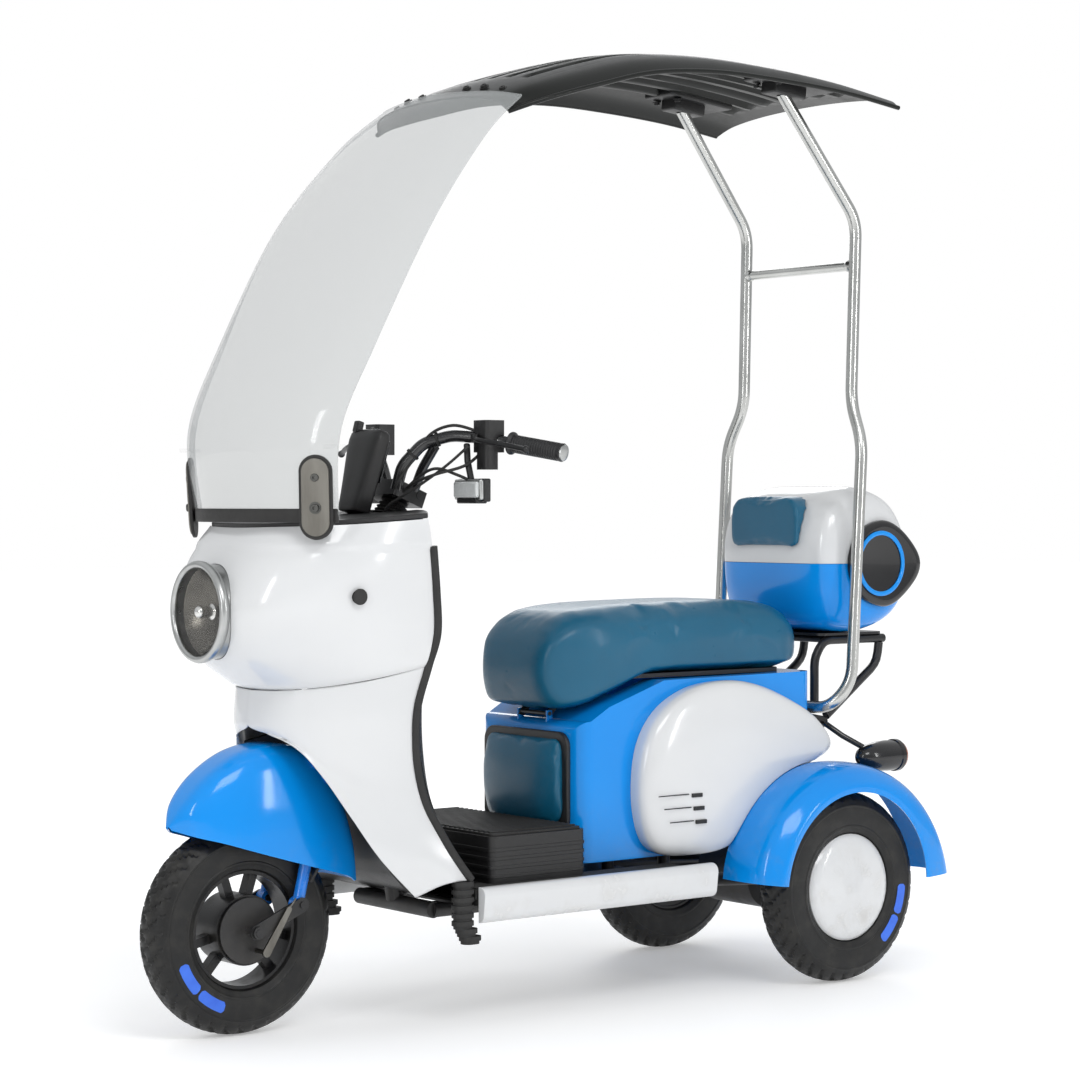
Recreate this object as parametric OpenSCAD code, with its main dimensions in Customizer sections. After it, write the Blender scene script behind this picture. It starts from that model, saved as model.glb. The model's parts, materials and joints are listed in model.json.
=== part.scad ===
// Three-wheeled mobility scooter with a windshield, a roof and a top box.
// Front faces -Y, the rider's left is +X, the ground is z = 0. Millimetres.

/* [Overall] */
// Distance between the front and rear axles
wheelbase = 1212; // [1120:2:1460]
// Distance between the rear wheels' centre planes
track = 524; // [500:2:640]
// Height of the roof's crown above the ground
roof_h = 1797; // [1500:1:2160]

/* [Wheels] */
// Radius of the three tyres
wheel_r = 186; // [176:1:192]
// Width of a tyre
tyre_w = 78; // [66:1:92]
// Radius of the rim's bead seat
rim_r = 104; // [90:1:112]
// Radius of the axles
axle_r = 7; // [5:0.5:9]

/* [Steering] */
// Rake of the steering axis from vertical, in degrees
rake = 22; // [15:1:26]
// Radius of the steering shaft
stem_r = 14; // [11:0.5:17]
// Radius of the handlebar tube
bar_r = 11; // [9:0.5:13]
// Outer radius of the grips
grip_r = 16.5; // [14:0.5:20]
// Length of a grip
grip_len = 110; // [90:1:130]

/* [Seat and box] */
// Width of the seat cushion
seat_w = 290; // [240:2:330]
// Thickness of the top box's walls
box_wall = 4; // [3:0.5:6]
// Width of the top box
box_w = 334; // [280:2:340]

/* [Roof] */
// Radius of the roof posts' tube
post_r = 12; // [9:0.5:14.5]
// Thickness of the windshield
glass_t = 4; // [3:0.5:6]
// Thickness of the roof shell
roof_t = 4; // [3:0.5:6]

/* [Fits] */
// Gap between pieces of different bodies
gap = 1; // [0.6:0.1:1.5]
// Gap between pieces that rest on each other
seat_gap = 0.3; // [0.2:0.05:0.5]
// Radial clearance of a running fit
run = 0.05; // [0.02:0.01:0.1]

/* [Hidden] */
$fn = 64;

// ---- Frame of reference ----
// Rear end of the top box, measured from the middle of the wheelbase
box_rear = 928;
// How far each axle has moved from the wheelbase that the points were drawn at
grow = (wheelbase - 1212) / 2;
// The model is centred between the front tyre and the top box
y_mid = -(box_rear + grow - wheelbase / 2 - wheel_r) / 2;

module front() translate([0, y_mid - grow, 0]) children();
module rear() translate([0, y_mid + grow, 0]) children();
module both_sides() {
  children();
  mirror([1, 0, 0]) children();
}

// A height above the deck, moved with the roof's height
function up(z) = z <= 905 ? z : 905 + (z - 905) * (roof_h - 905) / (1797 - 905);
function lift(P) = [for (row = P) [for (p = row) [p[0], p[1], up(p[2])]]];

// ---- Curves and surfaces ----
function arc(c, r, a0, a1, n = 12) =
  [for (i = [0:n]) let (a = a0 + (a1 - a0) * i / n) [c[0] + r * cos(a), c[1] + r * sin(a)]];
// A smooth curve through the points P, at u from 0 to len(P) - 1
function at(P, u) = let (n = len(P) - 1, i = min(floor(u), n - 1), f = u - i,
  a = P[max(i - 1, 0)], b = P[i], c = P[i + 1], d = P[min(i + 2, n)])
  0.5 * (2 * b + (c - a) * f + (2 * a - 5 * b + 4 * c - d) * f * f
    + (3 * b - 3 * c + d - a) * f * f * f);
function curve(P, m) = [for (k = [0:m]) at(P, k * (len(P) - 1) / m)];
// The same curve closed on itself
function ring(P, m) = let (n = len(P), Q = concat([P[n - 1]], P, [P[0], P[1]]))
  [for (k = [0:m - 1]) at(Q, 1 + k * n / m)];
function net(N, rows, cols) = curve([for (r = N) curve(r, cols)], rows);
function flip(p) = [-p[0], p[1], p[2]];
// A row that starts on the centre plane, with its mirror image before it
function whole(row) = concat([for (i = [len(row) - 1:-1:1]) flip(row[i])], row);
function normal(g, i, j) = let (
  a = g[min(i + 1, len(g) - 1)][j] - g[max(i - 1, 0)][j],
  b = g[i][min(j + 1, len(g[0]) - 1)] - g[i][max(j - 1, 0)], c = cross(a, b)) c / norm(c);

function sunk(g, t) = [for (i = [0:len(g) - 1]) [for (j = [0:len(g[0]) - 1]) g[i][j] - t * normal(g, i, j)]];
// A closed solid between the grid g and the grid h behind it
module between(g, h) {
  R = len(g);
  C = len(g[0]);
  K = R * C;
  polyhedron(concat([for (r = g) each r], [for (r = h) each r]), concat(
    [for (i = [0:R - 2], j = [0:C - 2]) let (a = i * C + j) each
      [[a, a + 1, a + C + 1], [a, a + C + 1, a + C],
       [K + a, K + a + C + 1, K + a + 1], [K + a, K + a + C, K + a + C + 1]]],
    [for (j = [0:C - 2]) let (a = j, b = (R - 1) * C + j) each
      [[a + 1, a, K + a], [a + 1, K + a, K + a + 1], [b, b + 1, K + b + 1], [b, K + b + 1, K + b]]],
    [for (i = [0:R - 2]) let (a = i * C, e = i * C + C - 1) each
      [[a, a + C, K + a + C], [a, K + a + C, K + a], [e + C, e, K + e], [e + C, K + e, K + e + C]]]));
}

// A sheet of thickness t under the grid g, on the side away from its normals
module shell(g, t) between(g, sunk(g, t));

// A closed solid through rings of equal length, each anticlockwise seen from the last ring's side
module loft(rings) {
  n = len(rings[0]);
  m = len(rings);
  polyhedron([for (r = rings) each r], concat(
    [[for (j = [0:n - 1]) j]],
    [for (i = [0:m - 2], j = [0:n - 1]) let (a = i * n + j, b = i * n + (j + 1) % n) each
      [[a, a + n, b + n], [a, b + n, b]]],
    [[for (j = [n - 1:-1:0]) (m - 1) * n + j]]));
}

// A round cord along a route, swept with a given number of sides
module cord(P, r, sides = 8) {
  n = len(P);
  loft([for (i = [0:n - 1]) let (t = P[min(i + 1, n - 1)] - P[max(i - 1, 0)], d = t / norm(t),
    u0 = cross(d, [0.94, 0.3, 0.13]), u = u0 / norm(u0), v = cross(d, u))
    [for (k = [0:sides - 1]) P[i] + r * (cos(360 * k / sides) * u + sin(360 * k / sides) * v)]]);
}

module rod(a, b, r) {
  v = b - a;
  translate(a) rotate([0, acos(v[2] / norm(v)), atan2(v[1], v[0])]) cylinder(r = r, h = norm(v));
}
// A route with each corner rounded off, from d before it to d after it
function bends(P, d) = let (n = len(P) - 1) concat([P[0]], [for (i = [1:n - 1]) let (
  a = P[i] + d * (P[i - 1] - P[i]) / norm(P[i - 1] - P[i]),
  b = P[i] + d * (P[i + 1] - P[i]) / norm(P[i + 1] - P[i])) each
  [for (t = [0, 0.35, 0.65, 1]) pow(1 - t, 2) * a + 2 * t * (1 - t) * P[i] + t * t * b]], [P[n]]);
// A bent tube of round section
module pipe(P, r, d = 14) cord(bends(P, d), r, 12);
// Solids of revolution whose axis points forward or to the left
module nose(p) translate(p) rotate([90, 0, 0]) children();
module side(p) translate(p) rotate([0, 90, 0]) children();
module pin(p, r, h) side(p) cylinder(r = r, h = h, center = true);
module tube(r, bore, h) difference() {
  cylinder(r = r, h = h);
  translate([0, 0, -1]) cylinder(r = bore, h = h + 2);
}
// An outline in the side view, (y, z), extruded across the scooter from x0 to x1
module slab(outline, x0, x1) translate([x0, 0, 0]) rotate([90, 0, 90])
  linear_extrude(x1 - x0) polygon(outline);
// A box with its four upright edges rounded
module post_box(p, s, r) translate([p[0], p[1], p[2] - s[2] / 2]) linear_extrude(s[2])
  polygon(concat(arc([s[0] / 2 - r, s[1] / 2 - r], r, 0, 90, 6), arc([r - s[0] / 2, s[1] / 2 - r], r, 90, 180, 6),
    arc([r - s[0] / 2, r - s[1] / 2], r, 180, 270, 6), arc([s[0] / 2 - r, r - s[1] / 2], r, 270, 360, 6)));

// ---- Places worked out once ----
front_y = -606;
rear_y = 606;
axle_z = wheel_r;
half_track = track / 2;
// The steering axis passes through steer_at and leans back by the rake
steer_at = [0, -275, 912];
steer_dir = [0, sin(rake), cos(rake)];
function along(s) = steer_at + s * steer_dir;
module on_steer(s) translate(along(s)) rotate([-rake, 0, 0]) children();
// Head tube and bearings
head_low = -385;
head_high = -95;
// Leading links of the fork
link_x = 54;
link_pivot = [link_x, -512, 226];
// Rear swing arm
swing_y = 330;
swing_z = 205;
// Wheel and brake
drum_r = 62;
hub_half = 42;

down_tube = [along(-330) + [0, 18, 0], [0, -300, 420], [0, -262, 208]];
seat_rail = [[110, 150, 200], [110, 150, 470], [110, 560, 520], [110, 716, 491.5]];

// ---- Chassis ----
module main_frame() color("#202122") {
  front() difference() {
    union() {
      on_steer(head_low) cylinder(r = stem_r + 9, h = head_high - head_low);
      pipe(down_tube, 19, 50);
      for (s = [-1, 1]) pipe([along(-120) + [s * 20, 8, 0], [s * 120, -330, 790], [s * 197.2, -352, 790]], 9);
    }
    on_steer(head_low - 1) cylinder(r = stem_r + run, h = head_high - head_low + 2);
  }
  both_sides() {
    rod([110, y_mid - grow - 262, 200], [110, y_mid + grow + swing_y - 22, 200], 15);
    rear() pipe(seat_rail, 12, 40);
    rear() rod([110, 290, 200], [110, 290, 480], 12);
    rear() difference() {
      slab([[275, 188], [352, 188], [352, 222], [275, 222]], 96, 103.6);
      pin([100, swing_y, swing_z], axle_r + run, 20);
    }
  }
  front() rod([-118, -262, 200], [118, -262, 200], 15);
  rear() rod([-110, 150, 440], [110, 150, 440], 10);
  rear() rod([-110, 560, 520], [110, 560, 520], 10);
}

// Half rows of the cowl, from the centre line to the rear edge, rim first
cowl_net = [
  [[0, -600, 888], [105, -588, 890], [172, -532, 893], [200, -440, 899], [204, -338, 906]],
  [[0, -648, 825], [112, -634, 828], [184, -566, 834], [208, -450, 846], [207, -332, 858]],
  [[0, -672, 744], [108, -660, 746], [178, -588, 752], [204, -460, 762], [203, -322, 776]],
  [[0, -652, 668], [92, -636, 670], [154, -566, 676], [192, -452, 688], [200, -318, 704]],
  [[0, -582, 612], [76, -570, 614], [134, -522, 620], [182, -436, 634], [199, -326, 654]]];
function cowl_grid() = [for (r = net(cowl_net, 12, 10)) whole(r)];
lamp = [0, -676, 744];
lamp_r = 83;

module front_cowl() color("#eceeee") front() difference() {
  shell(cowl_grid(), 4);
  nose([0, -560, 744]) cylinder(r = lamp_r + gap, h = 160);
  side([0, -484, 772]) cylinder(r = 12, h = 260);
}
module deck_plane() translate([0, -600, 889.2]) rotate([3.93, 0, 0]) translate([0, 600, 0]) children();
module dash_deck() color("#1d1e1f") front() difference() {
  deck_plane() linear_extrude(9) polygon(concat([for (p = whole(curve(cowl_net[0], 10))) [p[0], p[1]]],
    [for (p = whole(curve([[0, -240, 0], [90, -262, 0], [160, -304, 0], [204, -336, 0]], 6))) [-p[0], p[1]]]));
  on_steer(-60) cylinder(r = stem_r + 42, h = 120);
}
module headlight_bezel() color("#cfd2d4") front() nose(lamp) rotate_extrude()
  polygon(concat([[lamp_r - 4, -50], [lamp_r, -50]], arc([lamp_r - 7, 4], 7, 0, 180, 8), [[lamp_r - 4, 4]]));
module headlight_reflector() color("#8d9093") front() nose(lamp) {
  rotate_extrude() polygon(concat(
    [for (i = [0:10]) let (r = 14 + i * (lamp_r - 4.3 - 14) / 10) [r, -52 + 40 * pow((r - 14) / (lamp_r - 19), 2)]],
    [for (i = [10:-1:0]) let (r = 14 + i * (lamp_r - 4.3 - 14) / 10) [r, -55 + 40 * pow((r - 14) / (lamp_r - 19), 2)]]));
  translate([0, 0, -62]) cylinder(r = 14, h = 22);
  translate([0, 0, -40]) cylinder(r = 9, h = 14);
  translate([0, 0, -26]) sphere(r = 9);
}
module headlight_lens() color("#dfe6ea", 0.4) front() nose(lamp) rotate_extrude()
  polygon(concat([for (i = [0:9]) [i * (lamp_r - 4.5) / 9, 0.7 + 8 * max(0, 1 - pow(i / 8, 2))]],
    [for (i = [9:-1:0]) [i * (lamp_r - 4.5) / 9, 3.7 + 8 * max(0, 1 - pow(i / 8, 2))]]));

// Half rows of the leg shield: top at the cowl, then parting round the wheel
shield_net = [
  [[0, -574, 604], [70, -562, 606], [128, -514, 612], [176, -428, 626], [196, -334, 646]],
  [[0, -580, 556], [70, -566, 556], [128, -518, 558], [176, -438, 564], [196, -358, 574]],
  [[8, -579, 537], [74, -561, 531], [130, -514, 517], [176, -436, 508], [197, -362, 508]],
  [[88, -550, 516], [116, -528, 497], [146, -492, 471], [182, -424, 456], [200, -358, 456]],
  [[134, -518, 464], [151, -495, 443], [170, -460, 424], [192, -404, 410], [206, -346, 404]],
  [[168, -478, 390], [178, -456, 380], [190, -424, 372], [204, -376, 364], [213, -322, 356]],
  [[192, -430, 312], [200, -410, 310], [208, -384, 310], [217, -344, 310], [222, -296, 310]],
  [[211, -368, 242], [216, -348, 250], [220, -326, 258], [225, -300, 264], [231, -266, 266]]];
module leg_shield() color("#eceeee") front() both_sides() shell(net(shield_net, 18, 7), 4);
module shield_trim() color("#151617") front() both_sides() {
  edge = curve([for (r = cowl_net) r[4]], 6);
  low = curve([for (r = shield_net) r[4]], 20);
  cord([for (p = edge) p + [0, 6.3, 0]], 4.5, 8);
  cord([for (p = low) p + [-3, 6.3, 0]], 4.5, 8);
}
// Half rows of the black liner behind the front wheel, top first
guard_net = [
  [[0, -384, 535], [58, -386, 535], [84, -440, 524], [92, -530, 503]],
  [[0, -374, 460], [70, -376, 460], [116, -436, 456], [130, -498, 450]],
  [[0, -366, 396], [90, -368, 396], [142, -426, 392], [161, -460, 386]],
  [[0, -360, 316], [100, -360, 316], [160, -396, 314], [186, -424, 310]],
  [[0, -338, 256], [110, -338, 256], [176, -350, 254], [202, -368, 246]],
  [[0, -249.8, 217.5], [110, -249.8, 217.5], [170, -249.8, 217.5], [200, -249.8, 218]]];
module splash_guard() color("#131415") front() difference() {
  shell([for (r = net(guard_net, 12, 6)) whole(r)], 4);
  on_steer(head_low - 60) cylinder(r = stem_r + 14, h = head_high - head_low + 60);
  translate([0, -264, 190]) cylinder(r = 24, h = 60);
}
// Half rows of the panel that faces the rider's knees
inner_net = [
  [[0, -246, 908], [80, -266, 907], [140, -298, 904], [186, -330, 902]],
  [[0, -262, 780], [70, -268, 780], [140, -298, 780], [188, -316, 780]],
  [[0, -276, 640], [76, -280, 640], [146, -308, 640], [184, -330, 644]],
  [[0, -268, 500], [80, -272, 500], [148, -308, 500], [182, -338, 500]],
  [[0, -256, 380], [80, -260, 380], [152, -288, 380], [196, -314, 384]],
  [[0, -224, 262], [80, -224, 262], [160, -236, 262], [204, -250, 264]],
  [[0, -222, 228.8], [80, -222, 228.8], [160, -233, 228.8], [203, -244, 228.8]]];
module inner_panel() color("#1d1e1f") front() mirror([0, 1, 0])
  shell([for (r = net(inner_net, 12, 6)) [for (p = whole(r)) [p[0], -p[1], p[2]]]], 4);
module charge_port() color("#151617") front() side([198, -484, 772]) {
  cylinder(r = 11, h = 12);
  translate([0, 0, 9]) cylinder(r = 14, h = 5);
}

// ---- Windshield and roof ----
// Half rows of the windshield, bottom first, from the centre line to the side edge
glass_net = [
  [[0, -618, 912], [96, -610, 912], [180, -578, 912], [226, -540, 912]],
  [[0, -634, 1059], [100, -624, 1059], [186, -592, 1059], [242, -546, 1059]],
  [[0, -566, 1215], [104, -556, 1215], [192, -526, 1213], [254, -482, 1210]],
  [[0, -428, 1440], [108, -420, 1438], [198, -398, 1434], [264, -366, 1430]],
  [[0, -292, 1600], [100, -286, 1598], [188, -266, 1594], [246, -240, 1588]],
  [[0, -140, 1722], [92, -136, 1720], [170, -124, 1716], [222, -106, 1708]]];
bolt_z = [934, 988];
module glass_bolts(r, h) for (s = [-1, 1], z = bolt_z) translate([s * 178, -590, z])
  rotate([90, 0, s * 32]) translate([0, 0, -20]) cylinder(r = r, h = h);
module windshield() color("#e6eef2", 0.3) front() difference() {
  shell([for (r = net(lift([for (i = [5:-1:0]) glass_net[i]]), 18, 7)) whole(r)], glass_t);
  glass_bolts(4.6, 60);
}
module windshield_brackets() color("#b9bcbe") front() {
  deck_plane() both_sides() post_box([174, -542, 10.9], [36, 118, 3], 8);
  both_sides() shell([for (z = [1014, 1000, 970, 940, 905, 899]) [for (k = [0:3]) let (x = 158 + k * 12)
    [x, -607 + (x - 158) * 0.62 - (z - 912) * 0.095 + (z < 906 ? 3 : 0), z]]], 3);
  glass_bolts(4.2, 30);
  for (s = [-1, 1], z = bolt_z) translate([s * 178, -590, z]) rotate([90, 0, s * 32]) translate([0, 0, 8])
    cylinder(r = 8, h = 6);
}

// Half rows of the roof, front first, from the centre line to the side edge
roof_net = [
  [[0, -190, 1676], [110, -186, 1672], [180, -176, 1660], [205, -160, 1638]],
  [[0, -105, 1715], [120, -104, 1709], [205, -102, 1693], [240, -98, 1663]],
  [[0, 10, 1752], [125, 10, 1746], [214, 10, 1728], [254, 10, 1696]],
  [[0, 140, 1784], [128, 140, 1778], [218, 140, 1760], [258, 140, 1730]],
  [[0, 290, 1797], [130, 290, 1791], [221, 290, 1774], [261, 290, 1745]],
  [[0, 450, 1794], [132, 450, 1789], [224, 450, 1772], [264, 450, 1744]],
  [[0, 620, 1780], [134, 620, 1775], [228, 620, 1760], [268, 620, 1735]],
  [[0, 790, 1756], [136, 786, 1751], [230, 778, 1738], [270, 764, 1718]]];
// The roof spans from the windshield to the posts, so its length follows the wheelbase
function span(y) = y + grow * (y - 235) / 335;
function roof_grid() = [for (r = net(lift([for (i = [7:-1:0])
  [for (p = roof_net[i]) [p[0], span(p[1]), p[2]]]]), 20, 8)) whole(r)];
module roof() color("#17191a") translate([0, y_mid, 0]) shell(roof_grid(), roof_t);

post_line = [[0, 668, 525], [176, 668, 525], [200, 706, 575], [200, 734, 1054],
  [160, 743, 1136], [162, 754, 1502], [151, 560, 1742]];
function post_pts() = [for (p = post_line) [p[0], p[1], up(p[2])]];
post_top = [post_pts()[5], post_pts()[6]];
module roof_posts() color("#c9ccce") rear() {
  both_sides() pipe(post_pts(), post_r, 22);
  rod([-160, 750, up(1411)], [160, 750, up(1411)], 9);
}
module roof_clamps() color("#202122") rear() both_sides() difference() {
  post_box([151, 566, up(1772) - roof_t - 28.3], [44, 84, 56], 6);
  rod(post_top[0], post_top[0] + 1.3 * (post_top[1] - post_top[0]), post_r + run);
}

// ---- Instruments ----
module instrument_pod() color("#1a1b1c") front() translate([0, -349, 917.2]) rotate([-8, 0, 0]) {
  translate([0, -14, 2]) rotate([90, 0, 180]) linear_extrude(30) polygon(concat(
    [[-46, 0], [46, 0]], arc([34, 134], 18, 0, 90, 6), arc([-34, 134], 18, 90, 180, 6)));
}

// ---- Floor ----
module floor_pan() color("#1a1b1c") {
  len_y = 566 + 2 * grow;
  translate([0, y_mid, 0]) difference() {
    post_box([0, 35, 222], [460, len_y, 12], 30);
    for (s = [-1, 1]) {
      translate([s * 110, 150 + grow, 200]) cylinder(r = 13, h = 60);
      translate([s * 110, 290 + grow, 200]) cylinder(r = 13, h = 60);
      translate([s * 110, 0, 198]) rotate([90, 0, 0]) cylinder(r = 18, h = 900, center = true);
    }
    translate([-92, 250 + grow, 200]) cube([184, 200, 60]);
    translate([-134, swing_y - 58 + grow, 200]) cube([268, 120, 60]);
    translate([0, -262 - grow, 200]) cylinder(r = 22, h = 60);
  }
}
module battery_cover() color("#1a1b1c") front() difference() {
  union() {
    post_box([0, -86, 281.3], [404, 220, 106], 14);
    for (i = [0:4]) post_box([0, -86, 246 + i * 16], [407, 223, 6], 15);
  }
  post_box([0, -86, 278], [396, 212, 104], 10);
}
module battery_pack() color("#2b3f58") front() for (x = [-98, 98], y = [-138, -34])
  post_box([x, y, 228.3 + 49], [180, 98, 98], 6);
module floor_mat() color("#222324") front() {
  post_box([0, -86, 336.6], [392, 208, 4], 10);
  for (i = [-12:12]) post_box([i * 15, -86, 339.6], [7, 198, 4], 3);
  both_sides() post_box([104, -208.5, 230.3], [150, 18, 4], 8);
}
module side_trims() color("#eceeee") front() both_sides() translate([0, 306 + 2 * grow, 0]) rotate([90, 0, 0])
  linear_extrude(552 + 2 * grow) polygon(concat([[230.3, 252], [230.3, 188]], arc([232, 204], 16, -90, 0, 8),
    arc([236, 236], 16, 0, 90, 8)));
module corner_bumpers() color("#131415") front() both_sides() for (i = [0:7]) {
  drop = max(0, i - 5) * 8;
  post_box([222, -274 + drop, 259.8 - i * 14], [32, 40, 8.2], 14);
  post_box([222, -274 + drop, 252.8 - i * 14], [27, 35, 6], 13);
}

// ---- Seat base and rear body ----
base_half = 158;
module base_body(x, g) intersection() {
  slab(concat([[45 + g, 262 - g * 4], [330, 262 - g * 4], [425, 335 - g * 4], [655 - g, 400 - g * 4],
    [640 - g, 600 - g], [250, 596 - g], [115, 551 - g]], arc([71, 500 - g], 26 - g, 90, 180, 6)), -x, x);
  translate([0, 0, 200]) linear_extrude(450) polygon(concat(
    arc([x - 34, 79 + g], 34, 270, 360, 8), arc([x - 30, 612 - g], 30, 0, 90, 8),
    arc([30 - x, 612 - g], 30, 90, 180, 8), arc([34 - x, 79 + g], 34, 180, 270, 8)));
}
module seat_base() color("#1592e6") rear() {
  difference() {
    base_body(base_half, 0);
    base_body(base_half - 4, 4);
    both_sides() pipe(seat_rail, 13, 40);
    translate([-98, 170, 560]) cube([196, 390, 60]);
  }
  both_sides() difference() {
    slab([[54, 512], [68, 512], [66, 541], [54, 541]], 42.5, 46.5);
    pin([44, seat_pin[1], seat_pin[2]], 4 + run, 20);
  }
}
panel_line = [[205, 276], [300, 262], [400, 276], [500, 352], [590, 412], [662, 452], [628, 505], [560, 545],
  [470, 580], [384, 592], [290, 578], [214, 534], [172, 460], [168, 350]];
panel_mid = [360, 430];
module side_panels() color("#eceeee") rear() both_sides() difference() {
  outline = ring(panel_line, 32);
  steps = [[base_half + seat_gap, 1], [base_half + 26, 1], [base_half + 38, 0.95], [base_half + 47, 0.86],
    [base_half + 54, 0.7], [base_half + 58, 0.45], [base_half + 59, 0.15]];
  loft([for (s = steps) [for (p = outline) let (q = panel_mid + s[1] * (p - panel_mid)) [s[0], q[0], q[1]]]]);
  loft([for (s = [[base_half, 0.975], [base_half + 30, 0.95], [base_half + 44, 0.85], [base_half + 52, 0.5]])
    [for (p = outline) let (q = panel_mid + s[1] * (p - panel_mid)) [s[0], q[0], q[1]]]]);
  side([half_track - 75 - seat_gap, rear_y, axle_z]) cylinder(r = crown_r(60) + seat_gap, h = 80);
}
module calf_pad() color("#17708f") rear() {
  translate([0, 44.7, 412]) rotate([90, 0, 0]) linear_extrude(16) polygon(concat(
    arc([100, 66], 20, 0, 90, 5), arc([-100, 66], 20, 90, 180, 5), arc([-94, -60], 26, 180, 270, 5),
    arc([94, -60], 26, 270, 360, 5)));
}
// Arches over the rear wheels: crown radius by angle, and a section across
function crown_r(a) = wheel_r + 54 + 37 * pow(max(0, (90 - a) / 90), 1.5);
module rear_fenders() color("#1592e6") rear() both_sides() {
  inner_x = half_track - 74;
  shell([for (i = [0:20]) let (a = 174 - i * 172 / 20, R = crown_r(a), lip = wheel_r + gap)
    [for (p = curve([[inner_x, R - 6], [inner_x + 30, R], [half_track, R], [half_track + 34, R - 8],
      [half_track + 56, R - 28], [half_track + 64, lip + 12], [half_track + 62, lip]], 9))
      [p[0], rear_y + p[1] * cos(a), axle_z + p[1] * sin(a)]]], 4);
}
module rack() color("#17181a") rear() {
  both_sides() {
    pipe([[110, 690, 510.6], [110, 690, 622], [110, 716, 656.4], [110, 884, 656.4]], 9, 18);
    pipe([[110, 722, 503.5], [110, 795, 556], [110, 866, 606], [110, 872, 648]], 9, 22);
  }
  for (y = [744, 852]) rod([-106, y, 656.4], [106, y, 656.4], 7);
  post_box([0, 790, 668.1], [236, 180, 5], 20);
}
module rear_signals() color("#17181a") rear() both_sides() {
  rod([126.5, 704, 490], [196, 786, 440], 6);
  translate([196, 786, 440]) rotate([90, 0, 0]) {
    translate([0, 0, -40]) cylinder(r = 17, h = 40);
    sphere(r = 17);
  }
}

// ---- Top box ----
seam_z = 812;
// Rounded side outline of the box, (y, z)
box_line = [[672, 740], [700, 684], [780, 671], [850, 684], [900, 720], [922, 780], [923, 840], [904, 902],
  [862, 948], [800, 967], [738, 958], [690, 928], [666, 872], [664, 812]];
box_mid = [795, 815];
function box_ring(k, w) = [for (p = ring(box_line, 36)) let (q = box_mid + k * (p - box_mid)) [w, q[0], q[1]]];
module box_body(g) loft([for (s = [[-1, 0.55], [-0.98, 0.72], [-0.9, 0.87], [-0.78, 0.95], [-0.55, 1], [0.55, 1],
  [0.78, 0.95], [0.9, 0.87], [0.98, 0.72], [1, 0.55]]) box_ring(s[1] * (1 - g / 150), s[0] * (box_w / 2 - g))]);
// The lid turns about a pin along the rear of the seam
lid_pin = [925, 812];
knuckle_w = 20;
module knuckles(r, at, w = knuckle_w) both_sides() for (x = at) pin([x, lid_pin[0], lid_pin[1]], r, w);
module box_base() color("#1592e6") rear() difference() {
  union() {
    difference() {
      box_body(0);
      box_body(box_wall);
      translate([-250, 600, seam_z - 0.2]) cube([500, 400, 300]);
    }
    knuckles(3, [49, 91]);
    both_sides() pin([70, lid_pin[0], lid_pin[1]], 1.5, 50);
  }
  both_sides() difference() {
    pin([70, lid_pin[0], lid_pin[1]], 3 + gap, knuckle_w + 1.4);
    pin([70, lid_pin[0], lid_pin[1]], 1.5, 50);
  }
}
module box_lid() color("#eceeee") rear() difference() {
  union() {
    difference() {
      box_body(0);
      box_body(box_wall);
      translate([-250, 600, seam_z - 299.8]) cube([500, 400, 300]);
      knuckles(3 + gap, [49, 91], knuckle_w + 1.4);
    }
    knuckles(3, [70]);
  }
  both_sides() pin([70, lid_pin[0], lid_pin[1]], 1.5 + run, 50);
}
module box_pad() color("#17708f") rear() difference() {
  translate([0, 0, 894]) rotate([90, 0, 0]) translate([0, 0, -720]) linear_extrude(66) polygon(concat(
    arc([66, 16], 34, 0, 90, 6), arc([-66, 16], 34, 90, 180, 6), arc([-84, -34], 16, 180, 270, 5),
    arc([84, -34], 16, 270, 360, 5)));
  box_body(-seat_gap);
}
cup_at = [box_w / 2 - 1, 812, 812];
module box_cups() color("#131415") rear() both_sides() {
  loft([for (s = [[1.6, 1], [10, 1], [14, 0.94], [16, 0.84]]) [for (p = ring([[-86, 0], [-61, -61], [0, -87],
    [50, -76], [106, -26], [108, 18], [56, 70], [0, 87], [-61, 61]], 32))
    [cup_at[0] + s[0], cup_at[1] + s[1] * p[0], cup_at[2] + s[1] * p[1]]]]);
}
module cup_rings() color("#1592e6") rear() both_sides() side(cup_at + [16.3, -6, 0]) tube(66, 57, 3);

// ---- Seat ----
half_seat = seat_w / 2;
// The seat tips forward about a pin under its front edge
seat_pin = [0, 60, 535];
module seat_pan() color("#17181a") rear() {
  post_box([0, 340, 603.8], [250, 500, 8], 30);
  pin(seat_pin, 4, 96);
  both_sides() slab([[52, 529], [66, 527], [134, 601], [104, 601]], 38, 42);
}
seat_line = [[-2, 618], [4, 580], [26, 546], [70, 548], [116, 566], [180, 590], [250, 612], [420, 613], [600, 613],
  [640, 622], [652, 646], [622, 708], [560, 732], [440, 738], [300, 737], [160, 733], [60, 718], [12, 672]];
seat_mid = [330, 650];
module seat_cushion() color("#176a8e") rear() difference() {
  loft([for (s = [[-1, 0.86], [-0.97, 0.93], [-0.88, 0.98], [-0.7, 1], [0.7, 1], [0.88, 0.98], [0.97, 0.93],
    [1, 0.86]]) [for (p = ring(seat_line, 40)) let (q = [seat_mid[0] + (1 - (1 - s[1]) * 0.35) * (p[0] - seat_mid[0]),
    seat_mid[1] + s[1] * (p[1] - seat_mid[1])]) [s[0] * half_seat, q[0], q[1]]]]);
  post_box([0, 340, 602.2], [251, 501, 12.2], 30);
  both_sides() translate([30, 40, 536]) cube([26, 104, 62]);
}

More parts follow.
